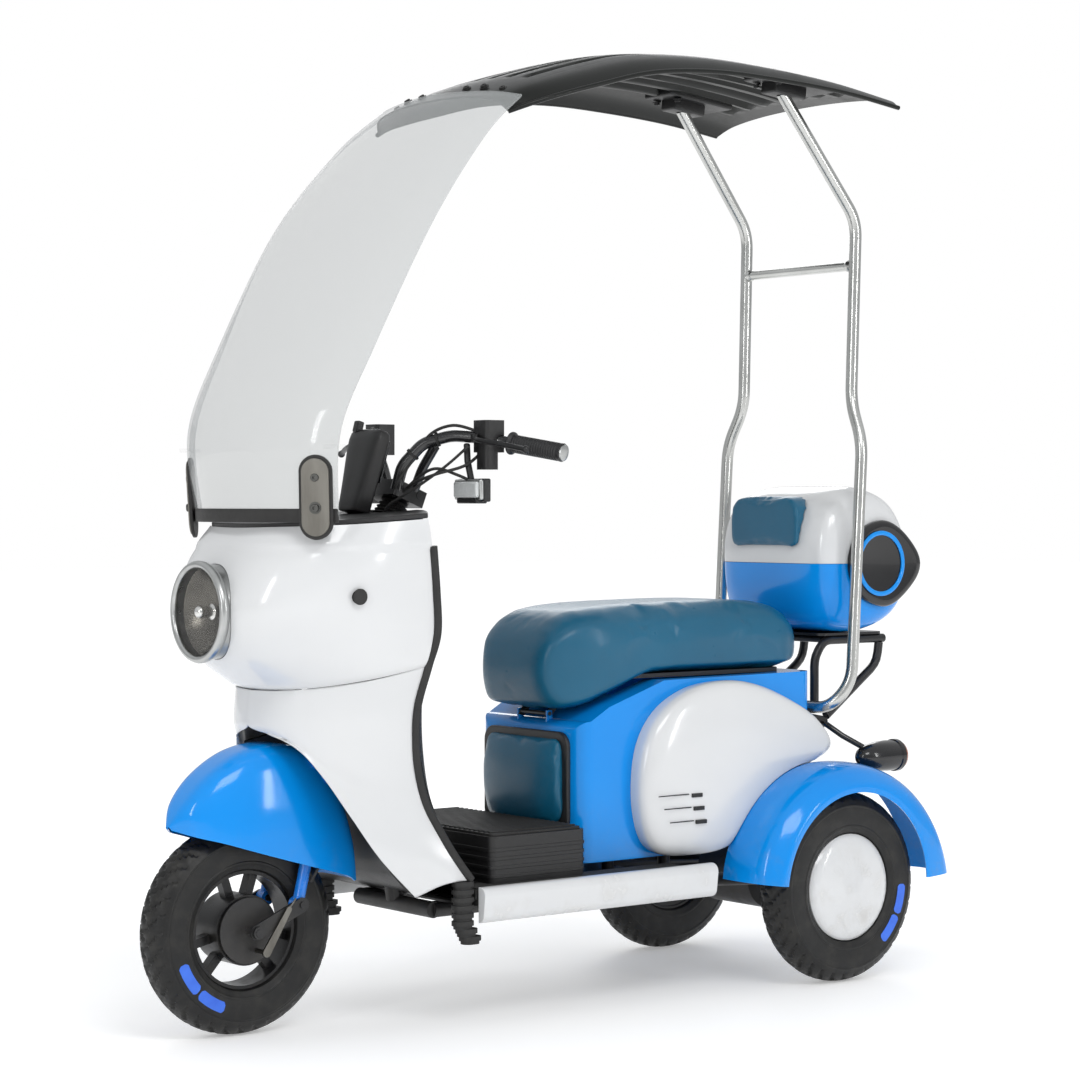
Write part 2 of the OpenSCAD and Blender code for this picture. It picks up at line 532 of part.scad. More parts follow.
// ---- Steering ----
bar_line = [[34, -288, 950], [52, -284, 1002], [80, -258, 1042], [118, -222, 1056], [150, -196, 1053],
  [195, -161, 1044], [308, -117, 1023.5]];
brace_line = [[34, -250, 946], [60, -246, 996], [92, -240, 1036]];
grip_dir = (bar_line[6] - bar_line[5]) / norm(bar_line[6] - bar_line[5]);
grip_at = bar_line[5];
module steering_stem() color("#1a1b1c") front() difference() {
  union() {
    on_steer(-466) cylinder(r = stem_r, h = 496);
    translate([0, -264, 951]) rotate([-rake, 0, 0]) cube([96, 70, 30], center = true);
    for (s = [-1, 1]) translate([s * 47, -244, 947]) rotate([0, 90, 0]) cylinder(r = 6, h = 5, center = true);
  }
  both_sides() {
    rod(bar_line[0], bar_line[1], bar_r + run);
    rod(brace_line[0], brace_line[1], bar_r - 2 + run);
  }
}
module handlebar() color("#161718") front() {
  both_sides() {
    pipe(bar_line, bar_r);
    pipe(brace_line, bar_r - 2);
  }
}
module grip_tube(r, bore, h) translate(grip_at) rotate([0, acos(grip_dir[2]), atan2(grip_dir[1], grip_dir[0])])
  translate([0, 0, 15]) tube(r, bore, h);
module left_grip() color("#1c1c1d") front() grip_tube(grip_r, bar_r + run, grip_len);
module throttle_grip() color("#1c1c1d") front() mirror([1, 0, 0]) grip_tube(grip_r, bar_r + run, grip_len);
button_at = [176, -156, 1062];
module switch_pods() color("#151617") front() both_sides() difference() {
  union() {
    post_box([172, -178, 1054], [44, 44, 58], 8);
    post_box([178, -186, 1012], [34, 30, 36], 8);
  }
  rod(bar_line[4] - 0.4 * (bar_line[5] - bar_line[4]), bar_line[5] + 0.4 * (bar_line[5] - bar_line[4]), bar_r + 1.2);
  translate(button_at - [0, 7.3, 0]) rotate([-90, 0, 0]) cylinder(r = 6 + seat_gap, h = 20);
}
module horn_button() color("#b8352c") front() translate(button_at + [0, -4, 0]) rotate([-90, 0, 0])
  cylinder(r = 6, h = 8);
lever_at = [168, -207.4, 1050];
module lever() {
  pipe([lever_at, lever_at + [30, -14, -4], lever_at + [80, 2, -12], lever_at + [126, 22, -22]], 5);
  translate(lever_at + [123, 21, -21.5]) sphere(r = 7);
  translate(lever_at - [0, 0, 7]) cylinder(r = 7, h = 14);
}
module left_lever() color("#2a2b2c") front() lever();
module right_lever() color("#2a2b2c") front() mirror([1, 0, 0]) lever();
module front_signals() color("#151617") front() both_sides() {
  pipe([[140, -204, 1041.6], [146, -206, 1010], [150, -202, 970]], 6);
  post_box([150, -200, 958], [80, 26, 40], 8);
}
// Half rows of the front mudguard, tip first, from the crown to the lower edge
fender_rows = [[-745, 374, 8, -741, 368], [-722, 418, 48, -712, 357], [-680, 462, 68, -672, 346],
  [-618, 498, 79, -618, 329], [-552, 510, 82, -552, 309], [-486, 497, 82, -490, 291], [-428, 440, 80, -442, 277],
  [-397, 352, 77, -415, 268], [-390, 262, 72, -402, 260]];
function fender_row(r) = [for (k = [-8:8]) let (s = k / 8, a = abs(s), d = 1 - sqrt(1 - pow(a, 3.5)))
  [r[2] * sign(s) * pow(a, 0.85), r[0] + (r[3] - r[0]) * d, r[1] + (r[4] - r[1]) * d]];
module front_fender() color("#1592e6") front() difference() {
  shell([for (r = curve(fender_rows, 18)) fender_row(r)], 3.5);
  slab([[-492, 424], [-492, 540], [-404, 540], [-404, 424]], -link_x - 13, link_x + 13);
}
module fork() color("#1c6fc4") front() {
  difference() {
    slab([[-484, 468], [-484, 492], [-424, 492], [-424, 468]], -link_x - 11, link_x + 11);
    on_steer(-500) cylinder(r = stem_r + run, h = 200);
    translate([29.5, -451, 400]) cylinder(r = 7, h = 200);
  }
  both_sides() difference() {
    union() {
      rod([link_x, -452, 478], link_pivot, 10.5);
      pin(link_pivot, 13, 21);
    }
    pin(link_pivot, 6 + run, 60);
  }
  pin([0, -470, 402], 4, 2 * 72.5);
}
module fork_links() color("#1a1b1c") front() {
  both_sides() {
    pin(link_pivot + [3, 0, 0], 6, 33);
    hull() {
      pin([link_x + 14, link_pivot[1], link_pivot[2]], 13, 5.4);
      pin([link_x + 14, front_y, axle_z], 13, 5.4);
    }
    pin([link_x + 20, front_y, axle_z], 11, 8);
  }
  pin([0, front_y, axle_z], axle_r, 2 * link_x + 50);
  difference() {
    side([hub_half - 4, front_y, axle_z]) cylinder(r = drum_r - 4, h = 4);
    pin([0, -590, 150], 4 + run, 200);
  }
}
cam = [link_x + 21, -590, 150];
arm_tip = [link_x + 21, -544, 222];
module brake_arm() color("#8d9093") front() {
  hull() {
    pin(cam, 8, 4);
    pin(arm_tip, 5, 4);
  }
  pin([(hub_half + cam[0] - 2) / 2, cam[1], cam[2]], 4, cam[0] - hub_half + 2);
  rod(arm_tip, arm_tip + [1, 14, 18], 1.5);
}
// The brake cable: from the left lever through the deck, down the head tube and through the crown
cable_route = [[158, -214, 1036], [124, -240, 1000], [84, -276, 962], [62, -292, 946], [38, -304, 930],
  [20, -304, 912], [9, -314, 884], [5, -347.4, 801], [5, -402, 668], [8, -448, 556], [26, -454, 512], [29, -452, 480],
  [34, -444, 448], [50, -446, 400], [70, -458, 350], [76, -478, 300], [77, -500, 266]];
module brake_cable() color("#101010") front() cord(curve(cable_route, 60), 2.5);

// ---- Wheels ----
module tyre_solid() rotate_extrude($fn = 96) difference() {
  polygon(concat([[rim_r + 0.2, -tyre_w * 0.36]], [for (a = [-120:12:120]) let (c = (wheel_r + rim_r) / 2)
    [c + (wheel_r - c) * cos(a) , tyre_w / 2 * sin(a)]], [[rim_r + 0.2, tyre_w * 0.36]]));
  translate([rim_r - 40, -tyre_w]) square([40.2, tyre_w * 2]);
}
module rim_ring() difference() {
  cylinder(r = rim_r, h = tyre_w * 0.7, center = true);
  cylinder(r = rim_r - 6, h = tyre_w, center = true);
}
module front_rim() color("#17181a") front() side([0, front_y, axle_z]) difference() {
  union() {
    rim_ring();
    cylinder(r = drum_r, h = 2 * hub_half - 12, center = true);
    for (k = [0:2]) rotate([0, 0, 120 * k + 60]) for (s = [-18, 18]) rotate([0, 0, s])
      translate([drum_r - 6, -8, -10]) cube([rim_r - drum_r + 2, 16, 20]);
  }
  cylinder(r = axle_r + run, h = 200, center = true);
}
module front_tyre() color("#19191a") front() side([0, front_y, axle_z]) tyre_solid();
module rear_rim(s) color("#1a1b1c") rear() side([s * half_track, rear_y, axle_z]) difference() {
  union() {
    rim_ring();
    translate([0, 0, s > 0 ? -24 : 8]) cylinder(r = rim_r - 2, h = 16);
    translate([0, 0, -26]) cylinder(r = 30, h = 52);
  }
  cylinder(r = 12 + run, h = 200, center = true);
}
module rear_cap(s) color("#eceeee") rear()
  side([s * (half_track + tyre_w * 0.35 + seat_gap - 2), rear_y, axle_z]) rotate([0, s > 0 ? 0 : 180, 0])
  rotate_extrude() polygon([[0, 18], [0, 22], [40, 21], [62, 16], [84, 17], [98, 12], [rim_r - 0.5, 6],
    [rim_r - 0.5, 2], [97, 8], [84, 13], [62, 12], [40, 17]]);
module rear_tyre(s) color("#19191a") rear() side([s * half_track, rear_y, axle_z]) tyre_solid();
module rear_axle() color("#1c1d1e") rear() {
  pin([0, rear_y, axle_z], 12, track + 40);
  pin([0, rear_y, axle_z], 22, 2 * (half_track - 40));
  pin([0, rear_y, axle_z], 66, 150);
  both_sides() {
    rod([118, rear_y, axle_z], [118, swing_y, swing_z], 13);
    pin([118, swing_y, swing_z], 15, 22);
  }
  pin([0, swing_y, swing_z], axle_r, 256);
}

main_frame();
front_cowl();
dash_deck();
headlight_bezel();
headlight_reflector();
headlight_lens();
leg_shield();
shield_trim();
splash_guard();
inner_panel();
charge_port();
windshield();
windshield_brackets();
roof();
roof_clamps();
roof_posts();
instrument_pod();
floor_pan();
battery_cover();
battery_pack();
floor_mat();
side_trims();
corner_bumpers();
seat_base();
side_panels();
calf_pad();
rear_fenders();
rack();
rear_signals();
box_base();
box_cups();
cup_rings();
box_lid();
box_pad();
seat_pan();
seat_cushion();
steering_stem();
handlebar();
left_grip();
throttle_grip();
switch_pods();
horn_button();
left_lever();
right_lever();
front_signals();
front_fender();
fork();
brake_cable();
fork_links();
brake_arm();
front_tyre();
front_rim();
rear_axle();
rear_tyre(1);  // rear_left_tyre
rear_rim(1);  // rear_left_rim
rear_cap(1);  // rear_left_cap
rear_tyre(-1);  // rear_right_tyre
rear_rim(-1);  // rear_right_rim
rear_cap(-1);  // rear_right_cap
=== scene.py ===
import bpy
import bmesh
import json
from math import atan2, cos, floor, hypot, pi, radians, sin, sqrt
from mathutils import Matrix, Vector

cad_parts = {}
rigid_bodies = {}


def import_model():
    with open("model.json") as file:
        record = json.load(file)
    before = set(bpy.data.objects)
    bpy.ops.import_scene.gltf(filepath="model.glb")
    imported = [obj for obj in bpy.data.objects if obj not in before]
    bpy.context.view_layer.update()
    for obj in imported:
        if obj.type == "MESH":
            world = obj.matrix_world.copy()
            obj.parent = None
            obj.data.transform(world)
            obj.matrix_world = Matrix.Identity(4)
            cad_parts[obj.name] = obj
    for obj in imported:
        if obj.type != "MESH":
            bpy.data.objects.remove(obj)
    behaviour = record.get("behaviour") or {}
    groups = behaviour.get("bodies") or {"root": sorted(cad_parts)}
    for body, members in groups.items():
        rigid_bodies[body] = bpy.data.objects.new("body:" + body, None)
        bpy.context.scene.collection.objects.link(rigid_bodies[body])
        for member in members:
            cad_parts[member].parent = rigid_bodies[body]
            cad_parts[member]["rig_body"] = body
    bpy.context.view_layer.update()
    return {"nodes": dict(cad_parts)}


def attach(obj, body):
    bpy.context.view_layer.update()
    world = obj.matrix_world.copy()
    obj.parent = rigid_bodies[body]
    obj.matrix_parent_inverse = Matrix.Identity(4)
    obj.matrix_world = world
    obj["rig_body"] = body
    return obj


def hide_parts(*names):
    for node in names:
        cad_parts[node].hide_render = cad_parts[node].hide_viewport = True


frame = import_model()
scene = bpy.context.scene
scene.view_settings.view_transform = "Standard"

# ---------------------------------------------------------------------------
# Studio. A long lens at the rider's front left, level with the seat, over a
# plain pale floor in soft light, with strip lights for the gloss.
camera = bpy.data.objects.new("camera", bpy.data.cameras.new("camera"))
camera.data.lens = 91.69
camera.data.sensor_width = 36
camera.data.clip_end = 200
camera.location = (4.1367, -3.2300, 0.9336)
camera.rotation_euler = Vector((-0.7876, 0.6160, -0.01338)).to_track_quat("-Z", "Y").to_euler()
scene.collection.objects.link(camera)
scene.camera = camera


def soft_light(name, place, aim, size, power):
    light = bpy.data.lights.new(name, "AREA")
    light.shape = "RECTANGLE"
    light.size, light.size_y = size
    light.energy = power
    lamp = bpy.data.objects.new(name, light)
    lamp.location = place
    lamp.rotation_euler = (Vector(aim) - Vector(place)).to_track_quat("-Z", "Y").to_euler()
    scene.collection.objects.link(lamp)


soft_light("key", (3.2, -1.2, 3.6), (0, 0, 0.7), (1.8, 1.4), 50)
soft_light("front_strip", (1.6, -4.2, 1.9), (0, -0.6, 0.7), (0.35, 1.8), 26)
soft_light("side_strip", (4.0, 1.6, 1.7), (0.2, 0.4, 0.7), (0.3, 2.0), 24)
soft_light("back_fill", (-3.5, 3.0, 2.6), (0, 0, 0.9), (2.0, 1.5), 26)

studio = bpy.data.worlds.new("studio")
scene.world = studio
studio.use_nodes = True
sky = studio.node_tree
sky.nodes.clear()
sky_out = sky.nodes.new("ShaderNodeOutputWorld")
sky_seen = sky.nodes.new("ShaderNodeBackground")
sky_seen.inputs["Color"].default_value = (1, 1, 1, 1)
sky_lit = sky.nodes.new("ShaderNodeBackground")
sky_pick = sky.nodes.new("ShaderNodeMixShader")
sky_ray = sky.nodes.new("ShaderNodeLightPath")
sky_place = sky.nodes.new("ShaderNodeTexCoord")
sky_split = sky.nodes.new("ShaderNodeSeparateXYZ")
sky_ramp = sky.nodes.new("ShaderNodeValToRGB")
sky_ramp.color_ramp.elements[0].position = 0.30
sky_ramp.color_ramp.elements[0].color = (0.36, 0.37, 0.38, 1)
sky_ramp.color_ramp.elements[1].position = 0.80
sky_ramp.color_ramp.elements[1].color = (0.74, 0.75, 0.76, 1)
horizon = sky_ramp.color_ramp.elements.new(0.52)
horizon.color = (0.50, 0.51, 0.52, 1)
sky_shift = sky.nodes.new("ShaderNodeMapRange")
sky_shift.inputs["From Min"].default_value = -1
sky.links.new(sky_place.outputs["Generated"], sky_split.inputs[0])
sky.links.new(sky_split.outputs["Z"], sky_shift.inputs["Value"])
sky.links.new(sky_shift.outputs[0], sky_ramp.inputs[0])
sky.links.new(sky_ramp.outputs[0], sky_lit.inputs["Color"])
sky.links.new(sky_ray.outputs["Is Camera Ray"], sky_pick.inputs[0])
sky.links.new(sky_lit.outputs[0], sky_pick.inputs[1])
sky.links.new(sky_seen.outputs[0], sky_pick.inputs[2])
sky.links.new(sky_pick.outputs[0], sky_out.inputs[0])


class Wire:
    """A shader socket that takes part in sums."""

    def __init__(self, tree, out):
        self.tree, self.out = tree, out

    def sum(self, operation, *values):
        node = self.tree.nodes.new("ShaderNodeMath")
        node.operation = operation
        for socket, value in zip(node.inputs, values):
            if isinstance(value, Wire):
                self.tree.links.new(value.out, socket)
            else:
                socket.default_value = value
        return Wire(self.tree, node.outputs[0])

    def __add__(self, other):
        return self.sum("ADD", self, other)

    def __radd__(self, other):
        return self.sum("ADD", other, self)

    def __sub__(self, other):
        return self.sum("SUBTRACT", self, other)

    def __rsub__(self, other):
        return self.sum("SUBTRACT", other, self)

    def __mul__(self, other):
        return self.sum("MULTIPLY", self, other)

    def __rmul__(self, other):
        return self.sum("MULTIPLY", other, self)

    def between(self, low, high):
        node = self.tree.nodes.new("ShaderNodeMapRange")
        node.interpolation_type = "SMOOTHSTEP"
        self.tree.links.new(self.out, node.inputs["Value"])
        node.inputs["From Min"].default_value = low
        node.inputs["From Max"].default_value = high
        return Wire(self.tree, node.outputs[0])


class Finish:
    """A material: plain numbers on its shader, and wires for what varies over the surface."""

    def __init__(self, name, colour, roughness, **numbers):
        self.material = bpy.data.materials.new(name)
        self.material.use_nodes = True
        self.tree = self.material.node_tree
        self.shader = self.tree.nodes["Principled BSDF"]
        self.feed(self.shader, "Base Color", (*colour, 1))
        self.feed(self.shader, "Roughness", roughness)
        for socket, value in numbers.items():
            self.feed(self.shader, socket.replace("_", " ").title().replace("Ior", "IOR"), value)
        self.place = self.node("ShaderNodeTexCoord", out="Object")

    def feed(self, node, socket, value):
        if isinstance(value, Wire):
            self.tree.links.new(value.out, node.inputs[socket])
        else:
            node.inputs[socket].default_value = value

    def node(self, kind, settings=(), sockets=(), out=0):
        node = self.tree.nodes.new(kind)
        for setting, value in dict(settings).items():
            if setting == "stops":
                while len(node.color_ramp.elements) < len(value):
                    node.color_ramp.elements.new(0.5)
                for element, (position, grey) in zip(node.color_ramp.elements, value):
                    element.position, element.color = position, (grey, grey, grey, 1)
            else:
                setattr(node, setting, value)
        for socket, value in dict(sockets).items():
            self.feed(node, socket, value)
        return Wire(self.tree, node.outputs[out])

    def grain(self, scale, detail=3.0, stretch=(1, 1, 1), roughness=0.55):
        where = self.node("ShaderNodeMapping", {}, {"Vector": self.place, "Scale": stretch})
        return self.node("ShaderNodeTexNoise", {}, {"Vector": where, "Scale": scale, "Detail": detail,
                                                    "Roughness": roughness})

    def along(self, axis):
        return self.node("ShaderNodeSeparateXYZ", {}, {0: self.place}, out=axis)

    def shade(self, amount, low, high):
        """Base colour that runs from low to high with the amount."""
        mixed = self.node("ShaderNodeMix", {"data_type": "RGBA"}, {0: amount, 6: (*low, 1), 7: (*high, 1)}, out=2)
        self.feed(self.shader, "Base Color", mixed)
        return mixed

    def tint(self, mixed, amount, colour):
        again = self.node("ShaderNodeMix", {"data_type": "RGBA"}, {0: amount, 6: mixed, 7: (*colour, 1)}, out=2)
        self.feed(self.shader, "Base Color", again)
        return again

    def rough(self, wire):
        self.feed(self.shader, "Roughness", wire)

    def relief(self, height, depth, strength=1.0):
        bump = self.node("ShaderNodeBump", {}, {"Height": height, "Distance": depth, "Strength": strength})
        self.feed(self.shader, "Normal", bump)


pale_floor = Finish("pale floor", (0.88, 0.88, 0.88), 0.6)
pale_floor.rough(pale_floor.grain(3.0) * 0.1 + 0.55)
floor_reach = pale_floor.node("ShaderNodeVectorMath", {"operation": "LENGTH"}, {0: pale_floor.place}, out="Value")
pale_floor.shade(floor_reach.between(1.2, 4.5), (0.88, 0.88, 0.88), (0.0, 0.0, 0.0))
floor_glow = pale_floor.node("ShaderNodeMix", {"data_type": "RGBA"},
                             {0: floor_reach.between(0.6, 4.0), 6: (0.30, 0.30, 0.30, 1), 7: (1, 1, 1, 1)}, out=2)
pale_floor.feed(pale_floor.shader, "Emission Color", floor_glow)
pale_floor.feed(pale_floor.shader, "Emission Strength", 1.0)
ground = bmesh.new()
bmesh.ops.create_grid(ground, x_segments=2, y_segments=2, size=30)
ground_mesh = bpy.data.meshes.new("studio_floor")
ground.to_mesh(ground_mesh)
studio_floor = bpy.data.objects.new("studio_floor", ground_mesh)
studio_floor.data.materials.append(pale_floor.material)
scene.collection.objects.link(studio_floor)

# ---------------------------------------------------------------------------
# Main frame. Bent steel tube with a head tube, welded and powder coated in
# black, with road dust on its lower side.
frame_coat = Finish("black frame coat", (0.018, 0.018, 0.019), 0.4)
coat_mottle = frame_coat.grain(60)
coat_dust = (1 - frame_coat.along("Z").between(0.05, 0.45)) * frame_coat.grain(9, 5).between(0.42, 0.7)
frame_coat.shade(coat_dust * 0.4, (0.009, 0.009, 0.010), (0.09, 0.083, 0.073))
frame_coat.rough(coat_mottle * 0.16 + coat_dust * 0.3 + 0.3)
frame_coat.relief(frame_coat.grain(700, 2), 0.0004, 0.35)


def mm(x, y, z):
    """A place in millimetres from the middle of the wheelbase, in the scooter's own frame."""
    return Vector((x, y - 68, z)) / 1000


def facing(bm, axis, sign):
    """Turns an open sheet's faces so that most of them look along the axis, given as its number and sign."""
    bmesh.ops.recalc_face_normals(bm, faces=bm.faces)
    if sum(f.normal[axis] for f in bm.faces) * sign < 0:
        bmesh.ops.reverse_faces(bm, faces=bm.faces)
    return bm


def walled(bm, axis, sign, thick):
    """Turns an open sheet's faces to look along the axis, and gives it a thickness behind them."""
    bmesh.ops.solidify(facing(bm, axis, sign), geom=bm.faces, thickness=thick)


def block(size, place, bm=None, turn=Matrix()):
    """A box of a size in metres, its middle at a place within the turned frame; added to a mesh when one is given."""
    bm = bm or bmesh.new()
    made = bmesh.ops.create_cube(bm, size=1)["verts"]
    bmesh.ops.scale(bm, vec=size, verts=made)
    bmesh.ops.transform(bm, matrix=turn @ Matrix.Translation(place), verts=made)
    return bm


def settle(name, bm, body, finish, stands_for=(), crease=32, thick=0, bevel=0, segments=2):
    """Makes a finished piece of the mesh: smooth but for its creases, with its material and its body."""
    for edge in bm.edges:
        edge.smooth = len(edge.link_faces) != 2 or edge.calc_face_angle(0) < radians(crease)
    for face in bm.faces:
        face.smooth = True
    mesh = bpy.data.meshes.new(name)
    bm.to_mesh(mesh)
    bm.free()
    piece = bpy.data.objects.new(name, mesh)
    mesh.materials.append(finish.material)
    scene.collection.objects.link(piece)
    if thick:
        wall = piece.modifiers.new("wall", "SOLIDIFY")
        wall.thickness = thick
        wall.offset = -1
        wall.use_even_offset = False
    if bevel:
        round_off = piece.modifiers.new("round", "BEVEL")
        round_off.width = bevel
        round_off.segments = segments
        round_off.limit_method = "ANGLE"
        round_off.angle_limit = radians(crease)
    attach(piece, body)
    if stands_for:
        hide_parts(*stands_for)
    return piece


def merged(node):
    bm = bmesh.new()
    bm.from_mesh(frame["nodes"][node].data)
    bmesh.ops.remove_doubles(bm, verts=bm.verts, dist=2e-5)
    bmesh.ops.dissolve_limit(bm, angle_limit=radians(0.5), verts=bm.verts, edges=bm.edges)
    return bm


def refine(node, finish, crease=32, bevel=0, segments=2):
    """The CAD node's own shape, with its faces merged, its edges eased and its curves smooth."""
    body = frame["nodes"][node]["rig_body"]
    return settle(node + "_finished", merged(node), body, finish, (node,), crease, 0, bevel, segments)


refine("main_frame", frame_coat)
refine("rack", frame_coat)
refine("rear_axle", frame_coat, 30, 0.0015)

# ---------------------------------------------------------------------------
# Front cowl. A moulded white ABS shell with a deep gloss, bulging round the
# headlight, its top edge turned out into a brow under the windshield.
white_shell = Finish("white shell", (0.66, 0.67, 0.68), 0.2, coat_weight=0.25, coat_roughness=0.05)
shell_haze = white_shell.grain(4.0, 4)
shell_dirt = (1 - white_shell.along("Z").between(0.12, 0.34)) * white_shell.grain(22, 6).between(0.45, 0.75)
white_shell.tint(white_shell.shade(shell_haze, (0.63, 0.64, 0.65), (0.69, 0.695, 0.70)), shell_dirt * 0.3,
                 (0.40, 0.37, 0.32))
white_shell.rough(white_shell.grain(30) * 0.06 + shell_dirt * 0.3 + 0.13)
white_shell.relief(white_shell.grain(420, 1), 0.0003, 0.10)


def on_curve(points, u):
    """A place on the smooth curve through the points, at u from 0 to the last one's number."""
    last = len(points) - 1
    i = min(int(floor(u)), last - 1)
    f = u - i
    a, b, c, d = points[max(i - 1, 0)], points[i], points[i + 1], points[min(i + 2, last)]
    return 0.5 * (2 * b + (c - a) * f + (2 * a - 5 * b + 4 * c - d) * f * f + (3 * b - 3 * c + d - a) * f * f * f)


def sheet_over(rows, across, along, whole=True):
    """A grid draped over rows of places, given from the centre line outwards and mirrored when whole."""
    net = [[mm(*p) for p in row] for row in rows]
    if whole:
        net = [[Vector((-p.x, p.y, p.z)) for p in row[:0:-1]] + row for row in net]
    bm = bmesh.new()
    bmesh.ops.create_grid(bm, x_segments=across, y_segments=along, size=1)
    for v in bm.verts:
        s, t = (v.co.x + 1) / 2, (1 - v.co.y) / 2
        v.co = on_curve([on_curve(row, s * (len(row) - 1)) for row in net], t * (len(net) - 1))
    return bm


def carve(bm, cutter):
    """Cuts the closed cutter out of the mesh."""
    pieces = []
    for shape in (bm, cutter):
        mesh = bpy.data.meshes.new("cut")
        shape.to_mesh(mesh)
        shape.free()
        pieces.append(bpy.data.objects.new("cut", mesh))
        scene.collection.objects.link(pieces[-1])
    cut = pieces[0].modifiers.new("cut", "BOOLEAN")
    cut.operation, cut.object, cut.solver = "DIFFERENCE", pieces[1], "EXACT"
    result = bmesh.new()
    result.from_mesh(pieces[0].evaluated_get(bpy.context.evaluated_depsgraph_get()).to_mesh())
    for piece in pieces:
        bpy.data.objects.remove(piece)
    return result


def drum(radius, length, centre, axis, segments=96):
    """A closed cylinder along an axis."""
    bm = bmesh.new()
    bmesh.ops.create_cone(bm, cap_ends=True, segments=segments, radius1=radius, radius2=radius, depth=length)
    turn = Vector((0, 0, 1)).rotation_difference(Vector(axis)).to_matrix().to_4x4()
    bmesh.ops.transform(bm, matrix=Matrix.Translation(centre) @ turn, verts=bm.verts)
    return bm


def step(low, high, value):
    f = min(max((value - low) / (high - low), 0), 1)
    return f * f * (3 - 2 * f)


cowl_rows = [
    [(0, -600, 888), (105, -588, 890), (172, -532, 893), (200, -440, 899), (204, -338, 906)],
    [(0, -648, 825), (112, -634, 828), (184, -566, 834), (208, -450, 846), (207, -332, 858)],
    [(0, -672, 744), (108, -660, 746), (178, -588, 752), (204, -460, 762), (203, -322, 776)],
    [(0, -652, 668), (92, -636, 670), (154, -566, 676), (192, -452, 688), (200, -318, 704)],
    [(0, -594, 618), (80, -581, 620), (138, -529, 626), (184, -440, 640), (200, -328, 660)],
    [(0, -570, 605), (73, -558, 607), (131, -512, 613), (178, -430, 627), (197, -328, 647)]]
cowl = sheet_over(cowl_rows, 64, 72)
bmesh.ops.recalc_face_normals(cowl, faces=cowl.faces)
for v in cowl.verts:
    v.normal_update()
for v in list(cowl.verts):
    ledge = step(0.850, 0.862, v.co.z) * (1 - step(0.60, 0.70, v.co.y + 0.95)) * 0.004
    v.co += v.normal * ledge
bmesh.ops.solidify(cowl, geom=cowl.faces, thickness=0.0035)
cowl = carve(cowl, drum(0.084, 0.3, mm(0, -700, 744), (0, 1, 0)))
cowl = carve(cowl, drum(0.012, 0.1, mm(210, -484, 772), (1, 0, 0), 32))
settle("cowl", cowl, "chassis", white_shell, ("front_cowl",), 40)

# ---------------------------------------------------------------------------
# Dash deck. Black grained ABS that closes the cowl's top, with the slot that
# the steering stem comes through, and a rubber bellows round the stem.
black_plastic = Finish("black grained plastic", (0.020, 0.020, 0.021), 0.5)
pebble = black_plastic.grain(900, 2)
plastic_dust = black_plastic.grain(14, 5).between(0.45, 0.8)
black_plastic.shade(plastic_dust * 0.3 + black_plastic.grain(4) * 0.25, (0.007, 0.007, 0.008), (0.034, 0.033, 0.031))
black_plastic.rough(pebble * 0.2 + plastic_dust * 0.15 + 0.30)
black_plastic.relief(pebble, 0.0005, 0.5)
refine("dash_deck", black_plastic, 30, 0.002)

soft_black = Finish("black rubber", (0.014, 0.014, 0.014), 0.62, specular_ior_level=0.4)
soft_black.shade(soft_black.grain(18, 5), (0.009, 0.009, 0.009), (0.034, 0.033, 0.032))
soft_black.rough(soft_black.grain(120) * 0.2 + 0.5)
soft_black.relief(soft_black.grain(800, 2), 0.0003, 0.3)


def turned(profile, centre, axis, segments=96):
    """A profile of (radius, height) spun round an axis through the centre."""
    bm = bmesh.new()
    verts = [bm.verts.new((r, 0, h)) for r, h in profile]
    edges = [bm.edges.new(pair) for pair in zip(verts, verts[1:])]
    bmesh.ops.spin(bm, geom=verts + edges, cent=(0, 0, 0), axis=(0, 0, 1), angle=2 * pi, steps=segments,
                   use_merge=True)
    bmesh.ops.remove_doubles(bm, verts=bm.verts, dist=1e-6)
    turn = Vector((0, 0, 1)).rotation_difference(Vector(axis)).to_matrix().to_4x4()
    bmesh.ops.transform(bm, matrix=Matrix.Translation(centre) @ turn, verts=bm.verts)
    bmesh.ops.recalc_face_normals(bm, faces=bm.faces)
    return bm


stem_lean = Vector((0, sin(radians(22)), cos(radians(22))))
stem_foot = mm(0, -275, 912)
bellows = [(0.0155, 0.0)] + [(0.028 + 0.005 * (1 - k % 2) - k * 0.0009, 0.002 + 0.0035 * k) for k in range(9)]
bellows += [(0.0165, 0.033), (0.0150, 0.030)]
settle("stem_bellows", turned(bellows, stem_foot + stem_lean * -0.006, stem_lean, 48), "steering", soft_black,
       (), 60)

# ---------------------------------------------------------------------------
# Headlight. A satin chrome ring, a deep reflector with a capped bulb, and a
# clear moulded lens.
ring_chrome = Finish("satin chrome", (0.45, 0.46, 0.46), 0.18, metallic=1.0)
chrome_haze = ring_chrome.grain(40, 4)
ring_chrome.shade(chrome_haze, (0.34, 0.345, 0.34), (0.56, 0.57, 0.565))
ring_chrome.rough(chrome_haze * 0.16 + 0.22)
ring_profile = [(0.0785, 0.048), (0.0785, 0.000), (0.0765, -0.006), (0.0780, -0.0105), (0.0825, -0.0125),
                (0.0870, -0.0110), (0.0895, -0.0060), (0.0890, 0.0000), (0.0860, 0.0050), (0.0832, 0.0065),
                (0.0830, 0.048), (0.0785, 0.048)]
settle("headlight_ring", turned(ring_profile, mm(0, -676, 744), (0, 1, 0), 128), "chassis", ring_chrome,
       ("headlight_bezel",), 50, 0, 0.0006)
lamp_bowl = Finish("smoked reflector", (0.08, 0.075, 0.065), 0.22, metallic=0.9)
bowl_flutes = lamp_bowl.grain(26, 2)
lamp_bowl.shade(bowl_flutes, (0.035, 0.033, 0.028), (0.16, 0.15, 0.13))
